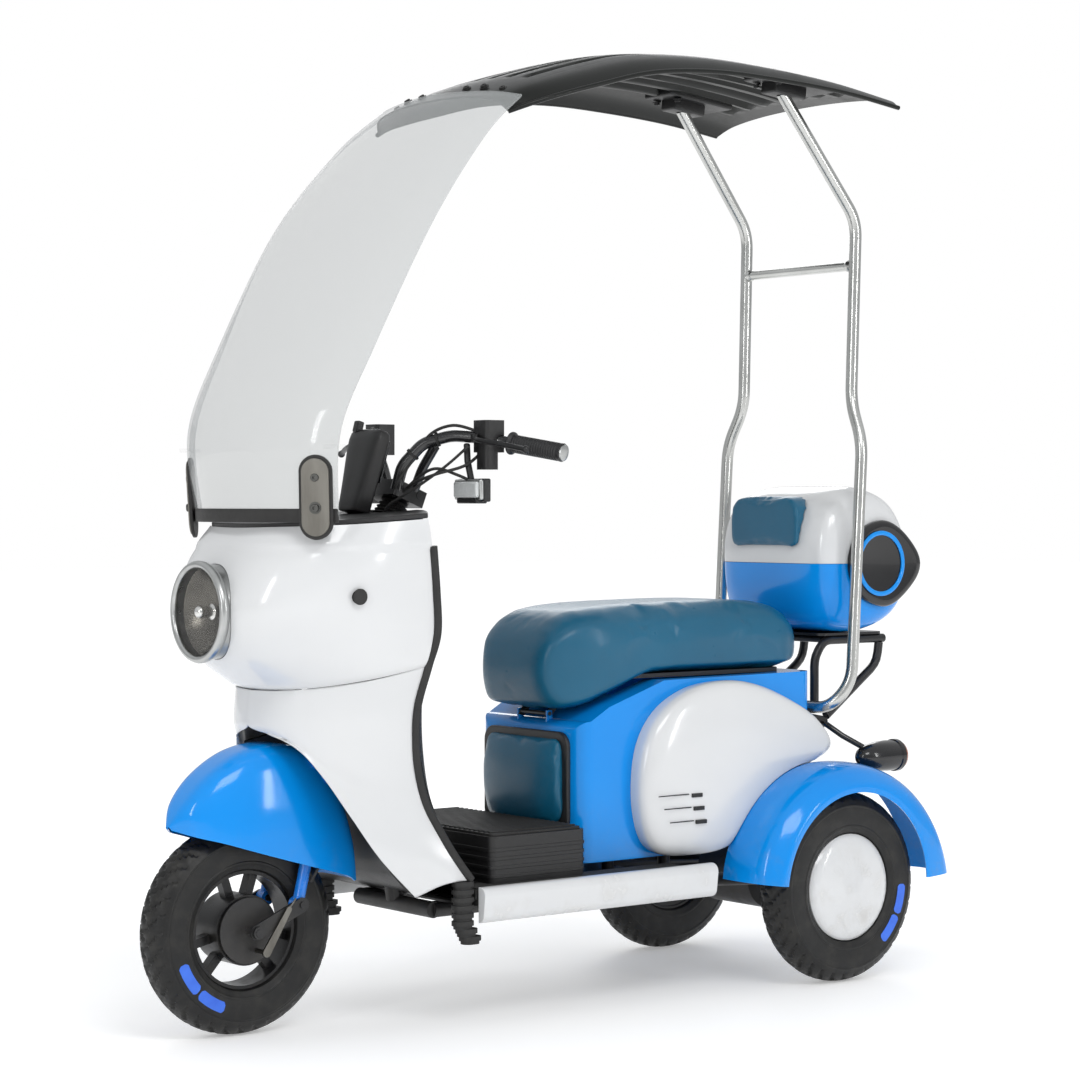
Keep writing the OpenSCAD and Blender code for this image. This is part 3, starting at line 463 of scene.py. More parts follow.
lamp_bowl.rough(bowl_flutes * 0.2 + 0.14)
refine("headlight_reflector", lamp_bowl, 40)
bulb_cap = Finish("bulb cap", (0.75, 0.75, 0.73), 0.12, metallic=1.0)
bulb_cap.rough(bulb_cap.grain(90) * 0.2 + 0.08)
bulb = turned([(0.0, -0.026), (0.006, -0.0255), (0.0105, -0.022), (0.0115, -0.016), (0.0105, -0.006), (0.0085, 0.004),
               (0.014, 0.006), (0.014, 0.010), (0.0, 0.010)], mm(0, -661, 744), (0, 1, 0), 48)
settle("headlight_bulb", bulb, "chassis", bulb_cap, (), 45)
clear_lens = Finish("clear lens", (0.5, 0.5, 0.5), 0.03, alpha=0.05, ior=1.45)
clear_lens.rough(clear_lens.grain(50) * 0.04 + 0.02)
refine("headlight_lens", clear_lens, 60)

# ---------------------------------------------------------------------------
# Leg shield. White ABS that sweeps down from the cowl and parts round the
# front wheel, edged at the rear with a soft black piping.
shield_rows = [
    [(0, -574, 604), (70, -562, 606), (128, -514, 612), (176, -428, 626), (196, -334, 646)],
    [(0, -580, 556), (70, -566, 556), (128, -518, 558), (176, -438, 564), (196, -358, 574)],
    [(8, -579, 537), (74, -561, 531), (130, -514, 517), (176, -436, 508), (197, -362, 508)],
    [(88, -550, 516), (116, -528, 497), (146, -492, 471), (182, -424, 456), (200, -358, 456)],
    [(134, -518, 464), (151, -495, 443), (170, -460, 424), (192, -404, 410), (206, -346, 404)],
    [(168, -478, 390), (178, -456, 380), (190, -424, 372), (204, -376, 364), (213, -322, 356)],
    [(192, -430, 312), (200, -410, 310), (208, -384, 310), (217, -344, 310), (222, -296, 310)],
    [(211, -368, 242), (216, -348, 250), (220, -326, 258), (225, -300, 264), (231, -266, 266)]]


def mirrored(bm):
    """Adds the other side's twin."""
    twin = bmesh.ops.duplicate(bm, geom=bm.verts[:] + bm.edges[:] + bm.faces[:])["geom"]
    verts = [g for g in twin if isinstance(g, bmesh.types.BMVert)]
    faces = [g for g in twin if isinstance(g, bmesh.types.BMFace)]
    bmesh.ops.scale(bm, vec=(-1, 1, 1), verts=verts)
    bmesh.ops.reverse_faces(bm, faces=faces)
    return bm


shield = sheet_over(shield_rows, 24, 72, False)
for v in shield.verts:
    v.co.x = max(v.co.x, 0)
mirrored(shield)
bmesh.ops.remove_doubles(shield, verts=shield.verts, dist=0.0006)
facing(shield, 1, -1)
settle("leg_shield_skin", shield, "chassis", white_shell, ("leg_shield",), 50, 0.0035)


def tube_along(points, radius, sides=16, samples=0):
    """A round tube along places in metres: through them smoothly when samples is given."""
    route = points
    if samples:
        route = [on_curve(points, k * (len(points) - 1) / samples) for k in range(samples + 1)]
    bm = bmesh.new()
    start = (route[1] - route[0]).normalized()
    up = start.cross(Vector((0.31, 0.23, 0.92))).normalized()
    rings = []
    for i, place in enumerate(route):
        ahead = (route[min(i + 1, len(route) - 1)] - route[max(i - 1, 0)]).normalized()
        up = (up - ahead * up.dot(ahead)).normalized()
        turn = Matrix((up, ahead.cross(up), ahead)).transposed().to_4x4()
        made = bmesh.ops.create_circle(bm, cap_ends=False, segments=sides, radius=radius,
                                       matrix=Matrix.Translation(place) @ turn)["verts"]
        rings.append(made)
    for a, b in zip(rings, rings[1:]):
        for k in range(sides):
            bm.faces.new((a[k], a[(k + 1) % sides], b[(k + 1) % sides], b[k]))
    bm.faces.new(rings[0][::-1])
    bm.faces.new(rings[-1])
    bmesh.ops.recalc_face_normals(bm, faces=bm.faces)
    return bm


def joined(*parts):
    """One mesh of several."""
    whole = bmesh.new()
    for part in parts:
        mesh = bpy.data.meshes.new("part")
        part.to_mesh(mesh)
        part.free()
        whole.from_mesh(mesh)
        bpy.data.meshes.remove(mesh)
    return whole


edge_points = [mm(*row[-1]) + Vector((0, 0.0045, 0)) for row in cowl_rows[1:-2]]
edge_points += [mm(*row[-1]) + Vector((-0.001, 0.0045, 0)) for row in shield_rows]
piping = mirrored(tube_along(edge_points, 0.0078, 16, 120))
settle("shield_piping", piping, "chassis", soft_black, ("shield_trim",), 60)

# ---------------------------------------------------------------------------
# Splash guard and knee panel. Black ABS behind the front wheel and in front
# of the rider's knees, down to the floor.
refine("splash_guard", black_plastic, 70)
knee_rows = [
    [(0, -246, 908), (80, -266, 907), (140, -298, 904), (186, -330, 902)],
    [(0, -262, 780), (70, -268, 780), (140, -298, 780), (188, -316, 780)],
    [(0, -276, 640), (76, -280, 640), (146, -308, 640), (184, -330, 644)],
    [(0, -268, 500), (80, -272, 500), (148, -308, 500), (182, -338, 500)],
    [(0, -256, 380), (80, -260, 380), (152, -288, 380), (196, -314, 384)],
    [(0, -224, 262), (80, -224, 262), (160, -236, 262), (204, -250, 264)],
    [(0, -222, 228.8), (80, -222, 228.8), (160, -233, 228.8), (203, -244, 228.8)]]
knee = sheet_over(knee_rows, 60, 90)
for v in knee.verts:
    bay = step(0.0, 0.008, 0.125 - abs(v.co.x)) * step(0.0, 0.010, 0.075 - abs(v.co.z - 0.800))
    groove = step(0, 0.004, 0.004 - abs(abs(v.co.x) - 0.145 - 0.02 * (v.co.z - 0.5)))
    v.co.y -= bay * 0.012 + groove * 0.003
walled(knee, 1, 1, 0.0035)
settle("knee_panel", knee, "chassis", black_plastic, ("inner_panel",), 40)

# ---------------------------------------------------------------------------
# Charging socket cap. A small round rubber cap on the cowl's left side.
refine("charge_port", soft_black, 30, 0.001)

# ---------------------------------------------------------------------------
# Windshield. One bent sheet of clear acrylic with polished edges, faintly
# scratched, seated in a black gasket on the deck.
acrylic = Finish("clear acrylic", (0.46, 0.48, 0.48), 0.03, alpha=0.36, ior=1.45)
acrylic.rough(acrylic.grain(6, 6).between(0.35, 0.8) * 0.14 + 0.05)
glass_rows = [
    [(0, -618, 912), (96, -610, 912), (180, -578, 912), (226, -540, 912)],
    [(0, -634, 1059), (100, -624, 1059), (186, -592, 1059), (242, -546, 1059)],
    [(0, -566, 1215), (104, -556, 1215), (192, -526, 1213), (254, -482, 1210)],
    [(0, -428, 1440), (108, -420, 1438), (198, -398, 1434), (264, -366, 1430)],
    [(0, -292, 1600), (100, -286, 1598), (188, -266, 1594), (246, -240, 1588)],
    [(0, -187, 1687), (96, -182, 1683), (176, -169, 1676), (229, -147, 1666)]]
glass = sheet_over(glass_rows, 56, 72)
walled(glass, 2, 1, 0.004)
settle("windshield_sheet", glass, "chassis", acrylic, ("windshield",), 50)

gasket_row = [Vector((-p[0], p[1], p[2])) for p in glass_rows[0][:0:-1]] + [Vector(p) for p in glass_rows[0]]
gasket_curve = [on_curve(gasket_row, k / 8) for k in range(len(gasket_row) * 8 - 7)]
gasket = bmesh.new()
bmesh.ops.create_grid(gasket, x_segments=len(gasket_curve) - 1, y_segments=4, size=1)
for v in gasket.verts:
    place = gasket_curve[round((v.co.x + 1) / 2 * (len(gasket_curve) - 1))]
    rise = (v.co.y + 1) / 2
    v.co = mm(place.x * 1.004, place.y - 1.6 - 1.2 * rise, 900 + 24 * rise)
facing(gasket, 1, -1)
settle("windshield_gasket", gasket, "chassis", soft_black, (), 40, 0.008, 0.0015)

edge_clip = block((0.010, 0.040, 0.008), mm(238, -556, 1030))
settle("windshield_clips", mirrored(edge_clip), "chassis", clear_lens, (), 30, 0, 0.001)

# ---------------------------------------------------------------------------
# Windshield brackets. Two steel plates with round ends on rubber pads, each
# held through the sheet by two cap screws.
plate_steel = Finish("weathered steel plate", (0.34, 0.335, 0.32), 0.34, metallic=1.0)
plate_wear = plate_steel.grain(30, 6, (1, 1, 0.2))
plate_steel.shade(plate_wear, (0.085, 0.08, 0.07), (0.27, 0.26, 0.235))
plate_steel.rough(plate_steel.grain(200, 3, (1, 1, 0.05)) * 0.25 + 0.22)
plate_steel.relief(plate_steel.grain(500, 2, (1, 1, 0.04)), 0.0002, 0.3)


def stadium(width, height, thick, centre, face):
    """A plate with round ends, its face turned to a direction."""
    bm = bmesh.new()
    bmesh.ops.create_cone(bm, cap_ends=True, segments=48, radius1=width / 2, radius2=width / 2, depth=thick)
    for v in bm.verts:
        v.co.y += (height - width) / 2 * (1 if v.co.y > 0 else -1)
    out = face.normalized()
    right = Vector((0, 0, 1)).cross(out).normalized()
    turn = Matrix((right, out.cross(right), out)).transposed().to_4x4()
    bmesh.ops.transform(bm, matrix=Matrix.Translation(centre) @ turn, verts=bm.verts)
    return bm


plate_out = Vector((0.64, -0.77, -0.06)).normalized()
plate_mid = mm(201, -568, 944)
pads = mirrored(stadium(0.060, 0.146, 0.006, plate_mid + plate_out * 0.004, plate_out))
settle("bracket_pads", pads, "chassis", soft_black, (), 40, 0, 0.001)
plates = mirrored(stadium(0.050, 0.134, 0.003, plate_mid + plate_out * 0.0086, plate_out))
settle("bracket_plates", plates, "chassis", plate_steel, ("windshield_brackets",), 40, 0, 0.0008)
screw_metal = Finish("blackened screws", (0.10, 0.10, 0.095), 0.3, metallic=1.0)
screw_metal.rough(screw_metal.grain(300) * 0.3 + 0.2)


def screw(place, out, radius=0.007, height=0.005):
    """A cap screw's head with its socket and washer."""
    return turned([(0, -0.002), (radius * 1.5, -0.002), (radius * 1.5, 0), (radius, 0), (radius, height * 0.8),
                   (radius * 0.85, height), (radius * 0.45, height), (radius * 0.45, height * 0.4),
                   (0, height * 0.4)], place, out, 24)


screws = joined(*[screw(plate_mid + plate_out * 0.0105 + Vector((0, 0, z)), plate_out) for z in (0.034, -0.018)])
settle("bracket_screws", mirrored(screws), "chassis", screw_metal, (), 40)

# ---------------------------------------------------------------------------
# Roof. One vacuum-formed sheet in black, ribbed lengthwise, its rim turned
# down all round, with grey wear where it catches the light.
roof_black = Finish("black roof sheet", (0.008, 0.009, 0.007), 0.36, specular_ior_level=0.3)
roof_wear = roof_black.grain(5, 7).between(0.5, 0.85)
roof_black.shade(roof_wear, (0.005, 0.006, 0.005), (0.022, 0.023, 0.019))
roof_black.rough(roof_wear * 0.2 + roof_black.grain(80) * 0.1 + 0.28)
roof_black.relief(roof_black.grain(350, 2), 0.0004, 0.25)
roof_rows = [
    [(0, -190, 1676), (110, -186, 1672), (180, -176, 1660), (205, -160, 1638)],
    [(0, -105, 1715), (120, -104, 1709), (205, -102, 1693), (240, -98, 1663)],
    [(0, 10, 1752), (125, 10, 1746), (214, 10, 1728), (254, 10, 1696)],
    [(0, 140, 1784), (128, 140, 1778), (218, 140, 1760), (258, 140, 1730)],
    [(0, 290, 1797), (130, 290, 1791), (221, 290, 1774), (261, 290, 1745)],
    [(0, 450, 1794), (132, 450, 1789), (224, 450, 1772), (264, 450, 1744)],
    [(0, 620, 1780), (134, 620, 1775), (228, 620, 1760), (268, 620, 1735)],
    [(0, 790, 1756), (136, 786, 1751), (230, 778, 1738), (270, 764, 1718)]]
roof = sheet_over(roof_rows, 150, 90)
for v in roof.verts:
    y = v.co.y * 1000 + 68
    inside = step(-90, -60, y) * (1 - step(700, 730, y)) * (1 - step(0.19, 0.20, abs(v.co.x)))
    rib = step(0.25, 0.42, abs(v.co.x / 0.052 % 1 - 0.5))
    v.co.z -= 0.014 * rib * inside
walled(roof, 2, 1, 0.0035)
settle("roof_sheet", roof, "chassis", roof_black, ("roof",), 50)
rim_row = [mm(*row[-1]) for row in roof_rows]
rim = [on_curve(rim_row, k / 6) for k in range(43)]
lip = mirrored(tube_along([p + Vector((0.001, 0, -0.001)) for p in rim], 0.0045, 12))
settle("roof_lip", lip, "chassis", roof_black, (), 60)
roof_screws = []
for x, y, z in ((70, -163, 1690), (165, -152, 1680), (120, -160, 1688)):
    for side in (1, -1):
        roof_screws.append(screw(mm(side * x, y + 10, z + 4), Vector((0.1 * side, -0.55, 0.83)), 0.006, 0.004))
settle("roof_screws", joined(*roof_screws), "chassis", soft_black, (), 40)

# ---------------------------------------------------------------------------
# Roof clamps and posts. Bent steel tube with a satin plating, a welded cross
# bar, and black clamps bolted up under the roof.
post_plate = Finish("satin plated tube", (0.56, 0.565, 0.55), 0.26, metallic=1.0)
post_cloud = post_plate.grain(12, 5)
post_plate.shade(post_cloud, (0.42, 0.425, 0.41), (0.68, 0.685, 0.67))
post_plate.rough(post_plate.grain(260, 3, (1, 1, 0.03)) * 0.16 + 0.17)
post_plate.relief(post_plate.grain(700, 2, (1, 1, 0.02)), 0.0001, 0.25)


def bent(points, bend):
    """The route with each corner rounded off, starting a length before it."""
    route = [points[0]]
    for before, corner, after in zip(points, points[1:], points[2:]):
        a = corner + (before - corner).normalized() * bend
        b = corner + (after - corner).normalized() * bend
        route += [a * (1 - t) ** 2 + corner * 2 * t * (1 - t) + b * t * t for t in (k / 8 for k in range(9))]
    return route + [points[-1]]


post_points = [mm(0, 668, 525), mm(176, 668, 525), mm(200, 706, 575), mm(200, 734, 1054), mm(160, 743, 1136),
               mm(162, 754, 1502), mm(151, 560, 1742)]
post_tube = mirrored(tube_along(bent(post_points, 0.034), 0.012, 24))
clamp_parts = []
for x in (119, 183):
    for y in (522, 640):
        clamp_parts.append(screw(mm(x, y, 1757), Vector((0, 0.12, -1)), 0.006, 0.005))
for place, size in (((151, 581, 1763), (0.086, 0.168, 0.016)), ((151, 566, 1748), (0.044, 0.084, 0.026))):
    clamp = block(size, (0, 0, 0))
    bmesh.ops.bevel(clamp, geom=clamp.edges, offset=0.004, affect="EDGES", segments=3, profile=0.5, material=-1)
    turn = Matrix.Translation(mm(*place)) @ Matrix.Rotation(radians(-6), 4, "X")
    bmesh.ops.transform(clamp, matrix=turn, verts=clamp.verts)
    clamp_parts.append(clamp)
settle("roof_clamp_blocks", mirrored(joined(*clamp_parts)), "chassis", black_plastic,
       ("roof_clamps",), 40)
cross_bar = tube_along([mm(-162, 750, 1411), mm(0, 750, 1411), mm(162, 750, 1411)], 0.0092, 20)
weld_profile = [(0.0095, -0.006), (0.0125, 0), (0.0105, 0.006), (0.0092, 0.009)]
welds = [turned(weld_profile, mm(side * 148, 750, 1411), (-side, 0, 0), 20) for side in (1, -1)]
settle("roof_post_tubes", joined(post_tube, cross_bar, *welds), "chassis", post_plate,
       ("roof_posts",), 50)


def lofted(rings):
    """A closed shell through rings of places with the same count."""
    bm = bmesh.new()
    count = len(rings[0])
    verts = bmesh.ops.create_circle(bm, cap_ends=False, segments=count, radius=1)["verts"]
    for v, place in zip(verts, rings[0]):
        v.co = place
    first = edges = bm.edges[:]
    current = verts
    for ring in rings[1:]:
        made = bmesh.ops.extrude_edge_only(bm, edges=edges)["geom"]
        new = [g for g in made if isinstance(g, bmesh.types.BMVert)]
        edges = [g for g in made if isinstance(g, bmesh.types.BMEdge)
                 and g.verts[0] in new and g.verts[1] in new]
        linked = []
        for v in current:
            linked.append(next(e.other_vert(v) for e in v.link_edges if e.other_vert(v) in new))
        for v, place in zip(linked, ring):
            v.co = place
        current = linked
    bmesh.ops.edgeloop_fill(bm, edges=first)
    bmesh.ops.edgeloop_fill(bm, edges=edges)
    bmesh.ops.recalc_face_normals(bm, faces=bm.faces)
    return bm


# ---------------------------------------------------------------------------
# Instrument pod. A hooded black housing on the deck with a dark glass screen
# that faces the rider.
dark_glass = Finish("dark screen glass", (0.006, 0.007, 0.009), 0.06, coat_weight=1.0)
dark_glass.rough(dark_glass.grain(60) * 0.05 + 0.04)
pod_tilt = Matrix.Translation(mm(0, -356, 917.5)) @ Matrix.Rotation(radians(-15), 4, "X")


def rounded(width, depth, corner, height, shift=0.0, count=64):
    """Places round an upright rounded rectangle."""
    places = []
    for k in range(count):
        turn = 2 * pi * k / count
        x, y = cos(turn), sin(turn)
        grow = (abs(x) ** corner + abs(y) ** corner) ** (-1 / corner)
        places.append(Vector((x * grow * width / 2, shift + y * grow * depth / 2, height)))
    return places


pod_steps = ((60, 34, 0), (66, 38, 4), (72, 37, 30), (84, 36, 70), (96, 36, 112), (100, 34, 134), (96, 31, 146),
             (84, 24, 152), (60, 12, 154.5))
pod = lofted([rounded(w / 1000, d / 1000, 4.5, h / 1000) for w, d, h in pod_steps])
bmesh.ops.transform(pod, matrix=pod_tilt, verts=pod.verts)
settle("instrument_housing", pod, "chassis", black_plastic, ("instrument_pod",), 50)
screen = block((0.080, 0.003, 0.078), (0, 0.0175, 0.098), turn=pod_tilt)
settle("instrument_screen", screen, "chassis", dark_glass, (), 30, 0, 0.0006)
clip = block((0.016, 0.014, 0.022), (-0.030, -0.010, 0.158), turn=pod_tilt)
settle("instrument_clip", clip, "chassis", black_plastic, (), 30, 0, 0.003, 3)

# ---------------------------------------------------------------------------
# Floor. A pan, the ridged battery cover, the ribbed mats, the white side
# rails and the corrugated corner bumpers.
refine("floor_pan", black_plastic, 30, 0.0015)
refine("battery_cover", black_plastic, 30, 0.0015)
refine("floor_mat", soft_black, 30, 0.0008)
refine("corner_bumpers", soft_black, 40, 0.0012)
case_blue = Finish("battery case", (0.04, 0.08, 0.14), 0.5)
case_blue.shade(case_blue.grain(20), (0.03, 0.06, 0.11), (0.05, 0.10, 0.17))
case_blue.relief(case_blue.grain(600), 0.0003, 0.3)
refine("battery_pack", case_blue, 30, 0.002)
side_mat = block((0.062, 0.500, 0.018), mm(197, 0, 237.6))
for k in range(5):
    block((0.006, 0.490, 0.004), mm(175 + 11 * k, 0, 248), side_mat)
settle("side_mats", mirrored(side_mat), "chassis", soft_black, (), 40, 0, 0.001)
rails = merged("side_trims")
settle("side_rails", rails, "chassis", white_shell, ("side_trims",), 35, 0, 0.007, 5)

# ---------------------------------------------------------------------------
# Seat base and side panels. The base is blue ABS over the frame; each white
# panel is a domed shell with three louvre slots, each behind a groove; the
# slots and grooves are painted shade, black blocks and thin black strips laid
# on the shell.
blue_shell = Finish("blue shell", (0.003, 0.235, 0.86), 0.14, specular_ior_level=0.3, coat_weight=0.22,
                    coat_roughness=0.03)
blue_drift = blue_shell.grain(3.2, 3)
blue_base = blue_shell.shade(blue_drift, (0.001, 0.225, 0.70), (0.002, 0.285, 0.82))
blue_dirt = (1 - blue_shell.along("Z").between(0.10, 0.42)) * blue_shell.grain(26, 6).between(0.48, 0.78)
blue_shell.tint(blue_base, blue_dirt * 0.30, (0.16, 0.18, 0.20))
blue_shell.rough(blue_shell.grain(34) * 0.05 + blue_dirt * 0.25 + 0.11)
blue_shell.relief(blue_shell.grain(420, 1), 0.0003, 0.10)
refine("seat_base", blue_shell, 35, 0.002)


def around(points, count):
    """Places round the closed smooth curve through the points."""
    loop = [points[-1]] + list(points) + list(points[:2])
    return [on_curve(loop, 1 + k * len(points) / count) for k in range(count)]


panel_line = [Vector(p) for p in (
    (205, 276), (300, 262), (400, 276), (500, 352), (590, 412), (662, 452), (628, 505), (560, 545), (470, 580),
    (384, 592), (290, 578), (214, 534), (172, 460), (168, 350))]
panel_mid = Vector((360, 430))
panel_steps = [Vector(s) for s in ((158.3, 0.99), (180, 1.0), (190, 0.985), (198, 0.95), (205, 0.88), (210, 0.78),
                                   (214, 0.62), (216.4, 0.42), (217.2, 0.2))]
panel_ring = around(panel_line, 96)
panel_rings = []
for k in range(25):
    side, share = on_curve(panel_steps, k / 3)
    panel_rings.append([mm(side, *(panel_mid + share * (p - panel_mid))) for p in panel_ring])
panel_shell = lofted(panel_rings)
panel_shell = carve(panel_shell, drum(0.2405, 0.06, mm(216.5, 606, 186), (1, 0, 0)))
settle("side_panel_shells", mirrored(panel_shell), "chassis", white_shell, ("side_panels",), 40)
# Painted shade: the louvre slots and grooves are not cut. Black blocks and thin black strips on the shell stand for
# the shade inside them.
slot_shade_black = Finish("slot shade black", (0.010, 0.010, 0.010), 0.5)
slot_shade_black.rough(slot_shade_black.grain(200) * 0.2 + 0.4)
slot_groove_shades = bmesh.new()
for y, z in ((282, 380), (287, 355), (293, 329)):
    block((0.005, 0.026, 0.0075), mm(216.4, y, z), slot_groove_shades)
for low, high, z in ((186, 262, 383), (200, 268, 358), (214, 274, 332)):
    block((0.0016, (high - low) / 1000, 0.0022), mm(217.0, (low + high) / 2, z), slot_groove_shades)
settle("side_slot_groove_shades", mirrored(slot_groove_shades), "chassis", slot_shade_black, (), 40, 0, 0.0008)

# ---------------------------------------------------------------------------
# Rear mudguards. Deep blue ABS arches with a rolled lower lip.
def crown(turn):
    return 240 + 37 * max(0, (90 - turn) / 90) ** 1.5


mudguard = bmesh.new()
bmesh.ops.create_grid(mudguard, x_segments=30, y_segments=72, size=1)
for v in mudguard.verts:
    turn = 174 - (v.co.y + 1) / 2 * 172
    reach = crown(turn)
    section = [Vector(p) for p in ((188, reach - 6), (218, reach), (262, reach), (296, reach - 8), (318, reach - 28),
                                   (326, 199), (324, 187))]
    across, out = on_curve(section, (v.co.x + 1) / 2 * 6)
    v.co = mm(across, 606 + out * cos(radians(turn)), 186 + out * sin(radians(turn)))
walled(mudguard, 0, 1, 0.0038)
settle("rear_mudguards", mirrored(mudguard), "chassis", blue_shell, ("rear_fenders",), 50)

# ---------------------------------------------------------------------------
# Rear indicators. Black bullet housings on stalks, with a smoked amber lens.
gloss_black = Finish("gloss black", (0.006, 0.006, 0.007), 0.14, coat_weight=0.3)
gloss_black.rough(gloss_black.grain(30, 4) * 0.12 + 0.1)
smoked_lens = Finish("smoked amber lens", (0.30, 0.06, 0.01), 0.1, coat_weight=0.6)
smoked_lens.rough(smoked_lens.grain(120) * 0.08 + 0.06)
bullet_nose = mm(196, 728, 424)
bullet = turned([(0, 0), (0.010, 0.002), (0.0185, 0.010), (0.0255, 0.028), (0.0295, 0.052), (0.0310, 0.078),
                 (0.0305, 0.096), (0.0325, 0.098), (0.0325, 0.107), (0.0300, 0.108), (0, 0.108)], bullet_nose,
                (0, 1, 0), 48)
stalks = tube_along([mm(126, 704, 490), mm(158, 722, 466), mm(194, 762, 436)], 0.006, 14)
settle("rear_indicator_housings", mirrored(joined(bullet, stalks)), "chassis", gloss_black,
       ("rear_signals",), 40)
bullet_lens = turned([(0.0296, 0.1082), (0.0285, 0.114), (0.021, 0.121), (0.010, 0.125), (0, 0.126)], bullet_nose,
                     (0, 1, 0), 48)
settle("rear_indicator_lenses", mirrored(bullet_lens), "chassis", smoked_lens, (), 50)

# ---------------------------------------------------------------------------
# Seat. Foam on a ply pan under a teal vinyl cover with a soft grain.
vinyl = Finish("teal vinyl", (0.003, 0.085, 0.170), 0.3, specular_ior_level=0.4, coat_weight=0.12,
               coat_roughness=0.18)
vinyl_pores = vinyl.node("ShaderNodeTexVoronoi", {"feature": "DISTANCE_TO_EDGE"},
                         {"Vector": vinyl.place, "Scale": 420.0})
vinyl_drift = vinyl.grain(5, 4)
vinyl.shade(vinyl_drift, (0.001, 0.078, 0.150), (0.003, 0.122, 0.225))
vinyl.rough(vinyl.grain(60, 4) * 0.12 + 0.24)
vinyl.relief(vinyl_pores.between(0.0, 0.12) + vinyl.grain(60, 3) * 0.4, 0.0005, 0.35)
refine("seat_pan", black_plastic, 30, 0.001)


def stuffed(name, node, voxel, pressure, cap, body, shaped=None):
    """A cushion blown up from the node's solid, a little at a time, within a cap."""
    bm = merged(node)
    mesh = bpy.data.meshes.new(name)
    bm.to_mesh(mesh)
    bm.free()
    piece = bpy.data.objects.new(name, mesh)
    scene.collection.objects.link(piece)
    remesh = piece.modifiers.new("remesh", "REMESH")
    remesh.mode = "VOXEL"
    remesh.voxel_size = voxel
    smooth = piece.modifiers.new("smooth", "SMOOTH")
    smooth.iterations = 8
    graph = bpy.context.evaluated_depsgraph_get()
    piece.data = bpy.data.meshes.new_from_object(piece.evaluated_get(graph))
    piece.modifiers.clear()
    for v in piece.data.vertices:
        v.co = shaped(v.co) if shaped else v.co
    before = [v.co.copy() for v in piece.data.vertices]
    cloth = piece.modifiers.new("cloth", "CLOTH")
    cloth.settings.use_pressure = True
    cloth.settings.uniform_pressure_force = pressure
    cloth.settings.effector_weights.gravity = 0
    cloth.settings.tension_stiffness = cloth.settings.compression_stiffness = 12
    cloth.settings.bending_stiffness = 2
    for moment in range(1, 21):
        scene.frame_set(moment)
    graph = bpy.context.evaluated_depsgraph_get()
    after = [v.co.copy() for v in piece.evaluated_get(graph).to_mesh().vertices]
    piece.modifiers.clear()
    scene.frame_set(1)
    for v, a, b in zip(piece.data.vertices, before, after):
        move = b - a
        if move.length > cap:
            move *= cap / move.length
        v.co = a + move
    return piece


def cover(piece, body, finish, stands_for):
    """Sews the cover on: material, body and what it stands for."""
    fine = piece.modifiers.new("fine", "SUBSURF")
    fine.levels = fine.render_levels = 1
    for face in piece.data.polygons:
        face.use_smooth = True
    piece.data.materials.clear()
    piece.data.materials.append(finish.material)
    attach(piece, body)
    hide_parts(*stands_for)


def seat_plan(place):
    """Rounds the seat off at both ends as seen from above."""
    y = place.y * 1000 + 68
    nose = min(max((150 - y) / 152, 0), 1)
    tail = min(max((y - 560) / 92, 0), 1)
    shoulder = step(0.650, 0.735, place.z) * min(max((abs(place.x) - 0.070) / 0.075, 0), 1) ** 2
    narrow = 1 - 0.36 * nose ** 2.2 - 0.30 * tail ** 2.2 - 0.05 * step(0.66, 0.73, place.z)
    return Vector((place.x * narrow, place.y, place.z - 0.020 * shoulder))


seat = stuffed("seat_cover", "seat_cushion", 0.006, 3.5, 0.006, "seat", seat_plan)
cover(seat, "seat", vinyl, ("seat_cushion",))

# ---------------------------------------------------------------------------
# Calf pad. A vinyl pad on the seat base's front, in a black frame.
calf_frame = block((0.258, 0.010, 0.190), mm(0, 41, 410))
upright = [e for e in calf_frame.edges if abs(e.verts[0].co.y - e.verts[1].co.y) > 0.005]
bmesh.ops.bevel(calf_frame, geom=upright, offset=0.028, affect="EDGES", segments=8, profile=0.5, material=-1)
settle("calf_pad_frame", calf_frame, "chassis", black_plastic, (), 40, 0, 0.003, 3)


def calf_plan(place):
    """Domes the pad's face and rounds its corners."""
    x, z = place.x / 0.120, (place.z - 0.410) / 0.086
    far = min(1, (abs(x) ** 3.2 + abs(z) ** 3.2) ** (1 / 3.2))
    front = min(max((-0.028 - place.y) / 0.010, 0), 1)
    return Vector((place.x * (1 - 0.05 * abs(z) ** 3), place.y - front * 0.016 * (1 - far ** 2.4),
                   0.410 + (place.z - 0.410) * (1 - 0.05 * abs(x) ** 3)))


calf = stuffed("calf_cover", "calf_pad", 0.005, 4, 0.006, "chassis", calf_plan)
cover(calf, "chassis", vinyl, ("calf_pad",))

# ---------------------------------------------------------------------------
# Top box. Two blow-moulded halves hinged at the rear, white over blue, with
# black side cups round a blue ring and a vinyl back pad.
box_line = [Vector(p) for p in (
    (672, 740), (700, 684), (780, 671), (850, 684), (900, 720), (922, 780), (923, 840), (904, 902), (862, 948),
    (800, 967), (738, 958), (690, 928), (666, 872), (664, 812))]
box_mid = Vector((795, 815))
box_steps = [Vector(s) for s in ((-1, 0.55), (-0.98, 0.72), (-0.9, 0.87), (-0.78, 0.95), (-0.55, 1), (0, 1.004),
                                 (0.55, 1), (0.78, 0.95), (0.9, 0.87), (0.98, 0.72), (1, 0.55))]
box_ring = around(box_line, 96)


def box_half(keep_up):
    rings = []
    for k in range(61):
        side, share = on_curve(box_steps, k / 6)
        rings.append([mm(side * 167, *(box_mid + share * (p - box_mid))) for p in box_ring])
    bm = lofted(rings)
    seam = 812.4 if keep_up else 811.6
    cut = bmesh.ops.bisect_plane(bm, geom=bm.verts[:] + bm.edges[:] + bm.faces[:], plane_co=mm(0, 0, seam),
                                 plane_no=(0, 0, 1), clear_inner=keep_up, clear_outer=not keep_up)
    bmesh.ops.solidify(bm, geom=bm.faces, thickness=0.0038)
    return bm


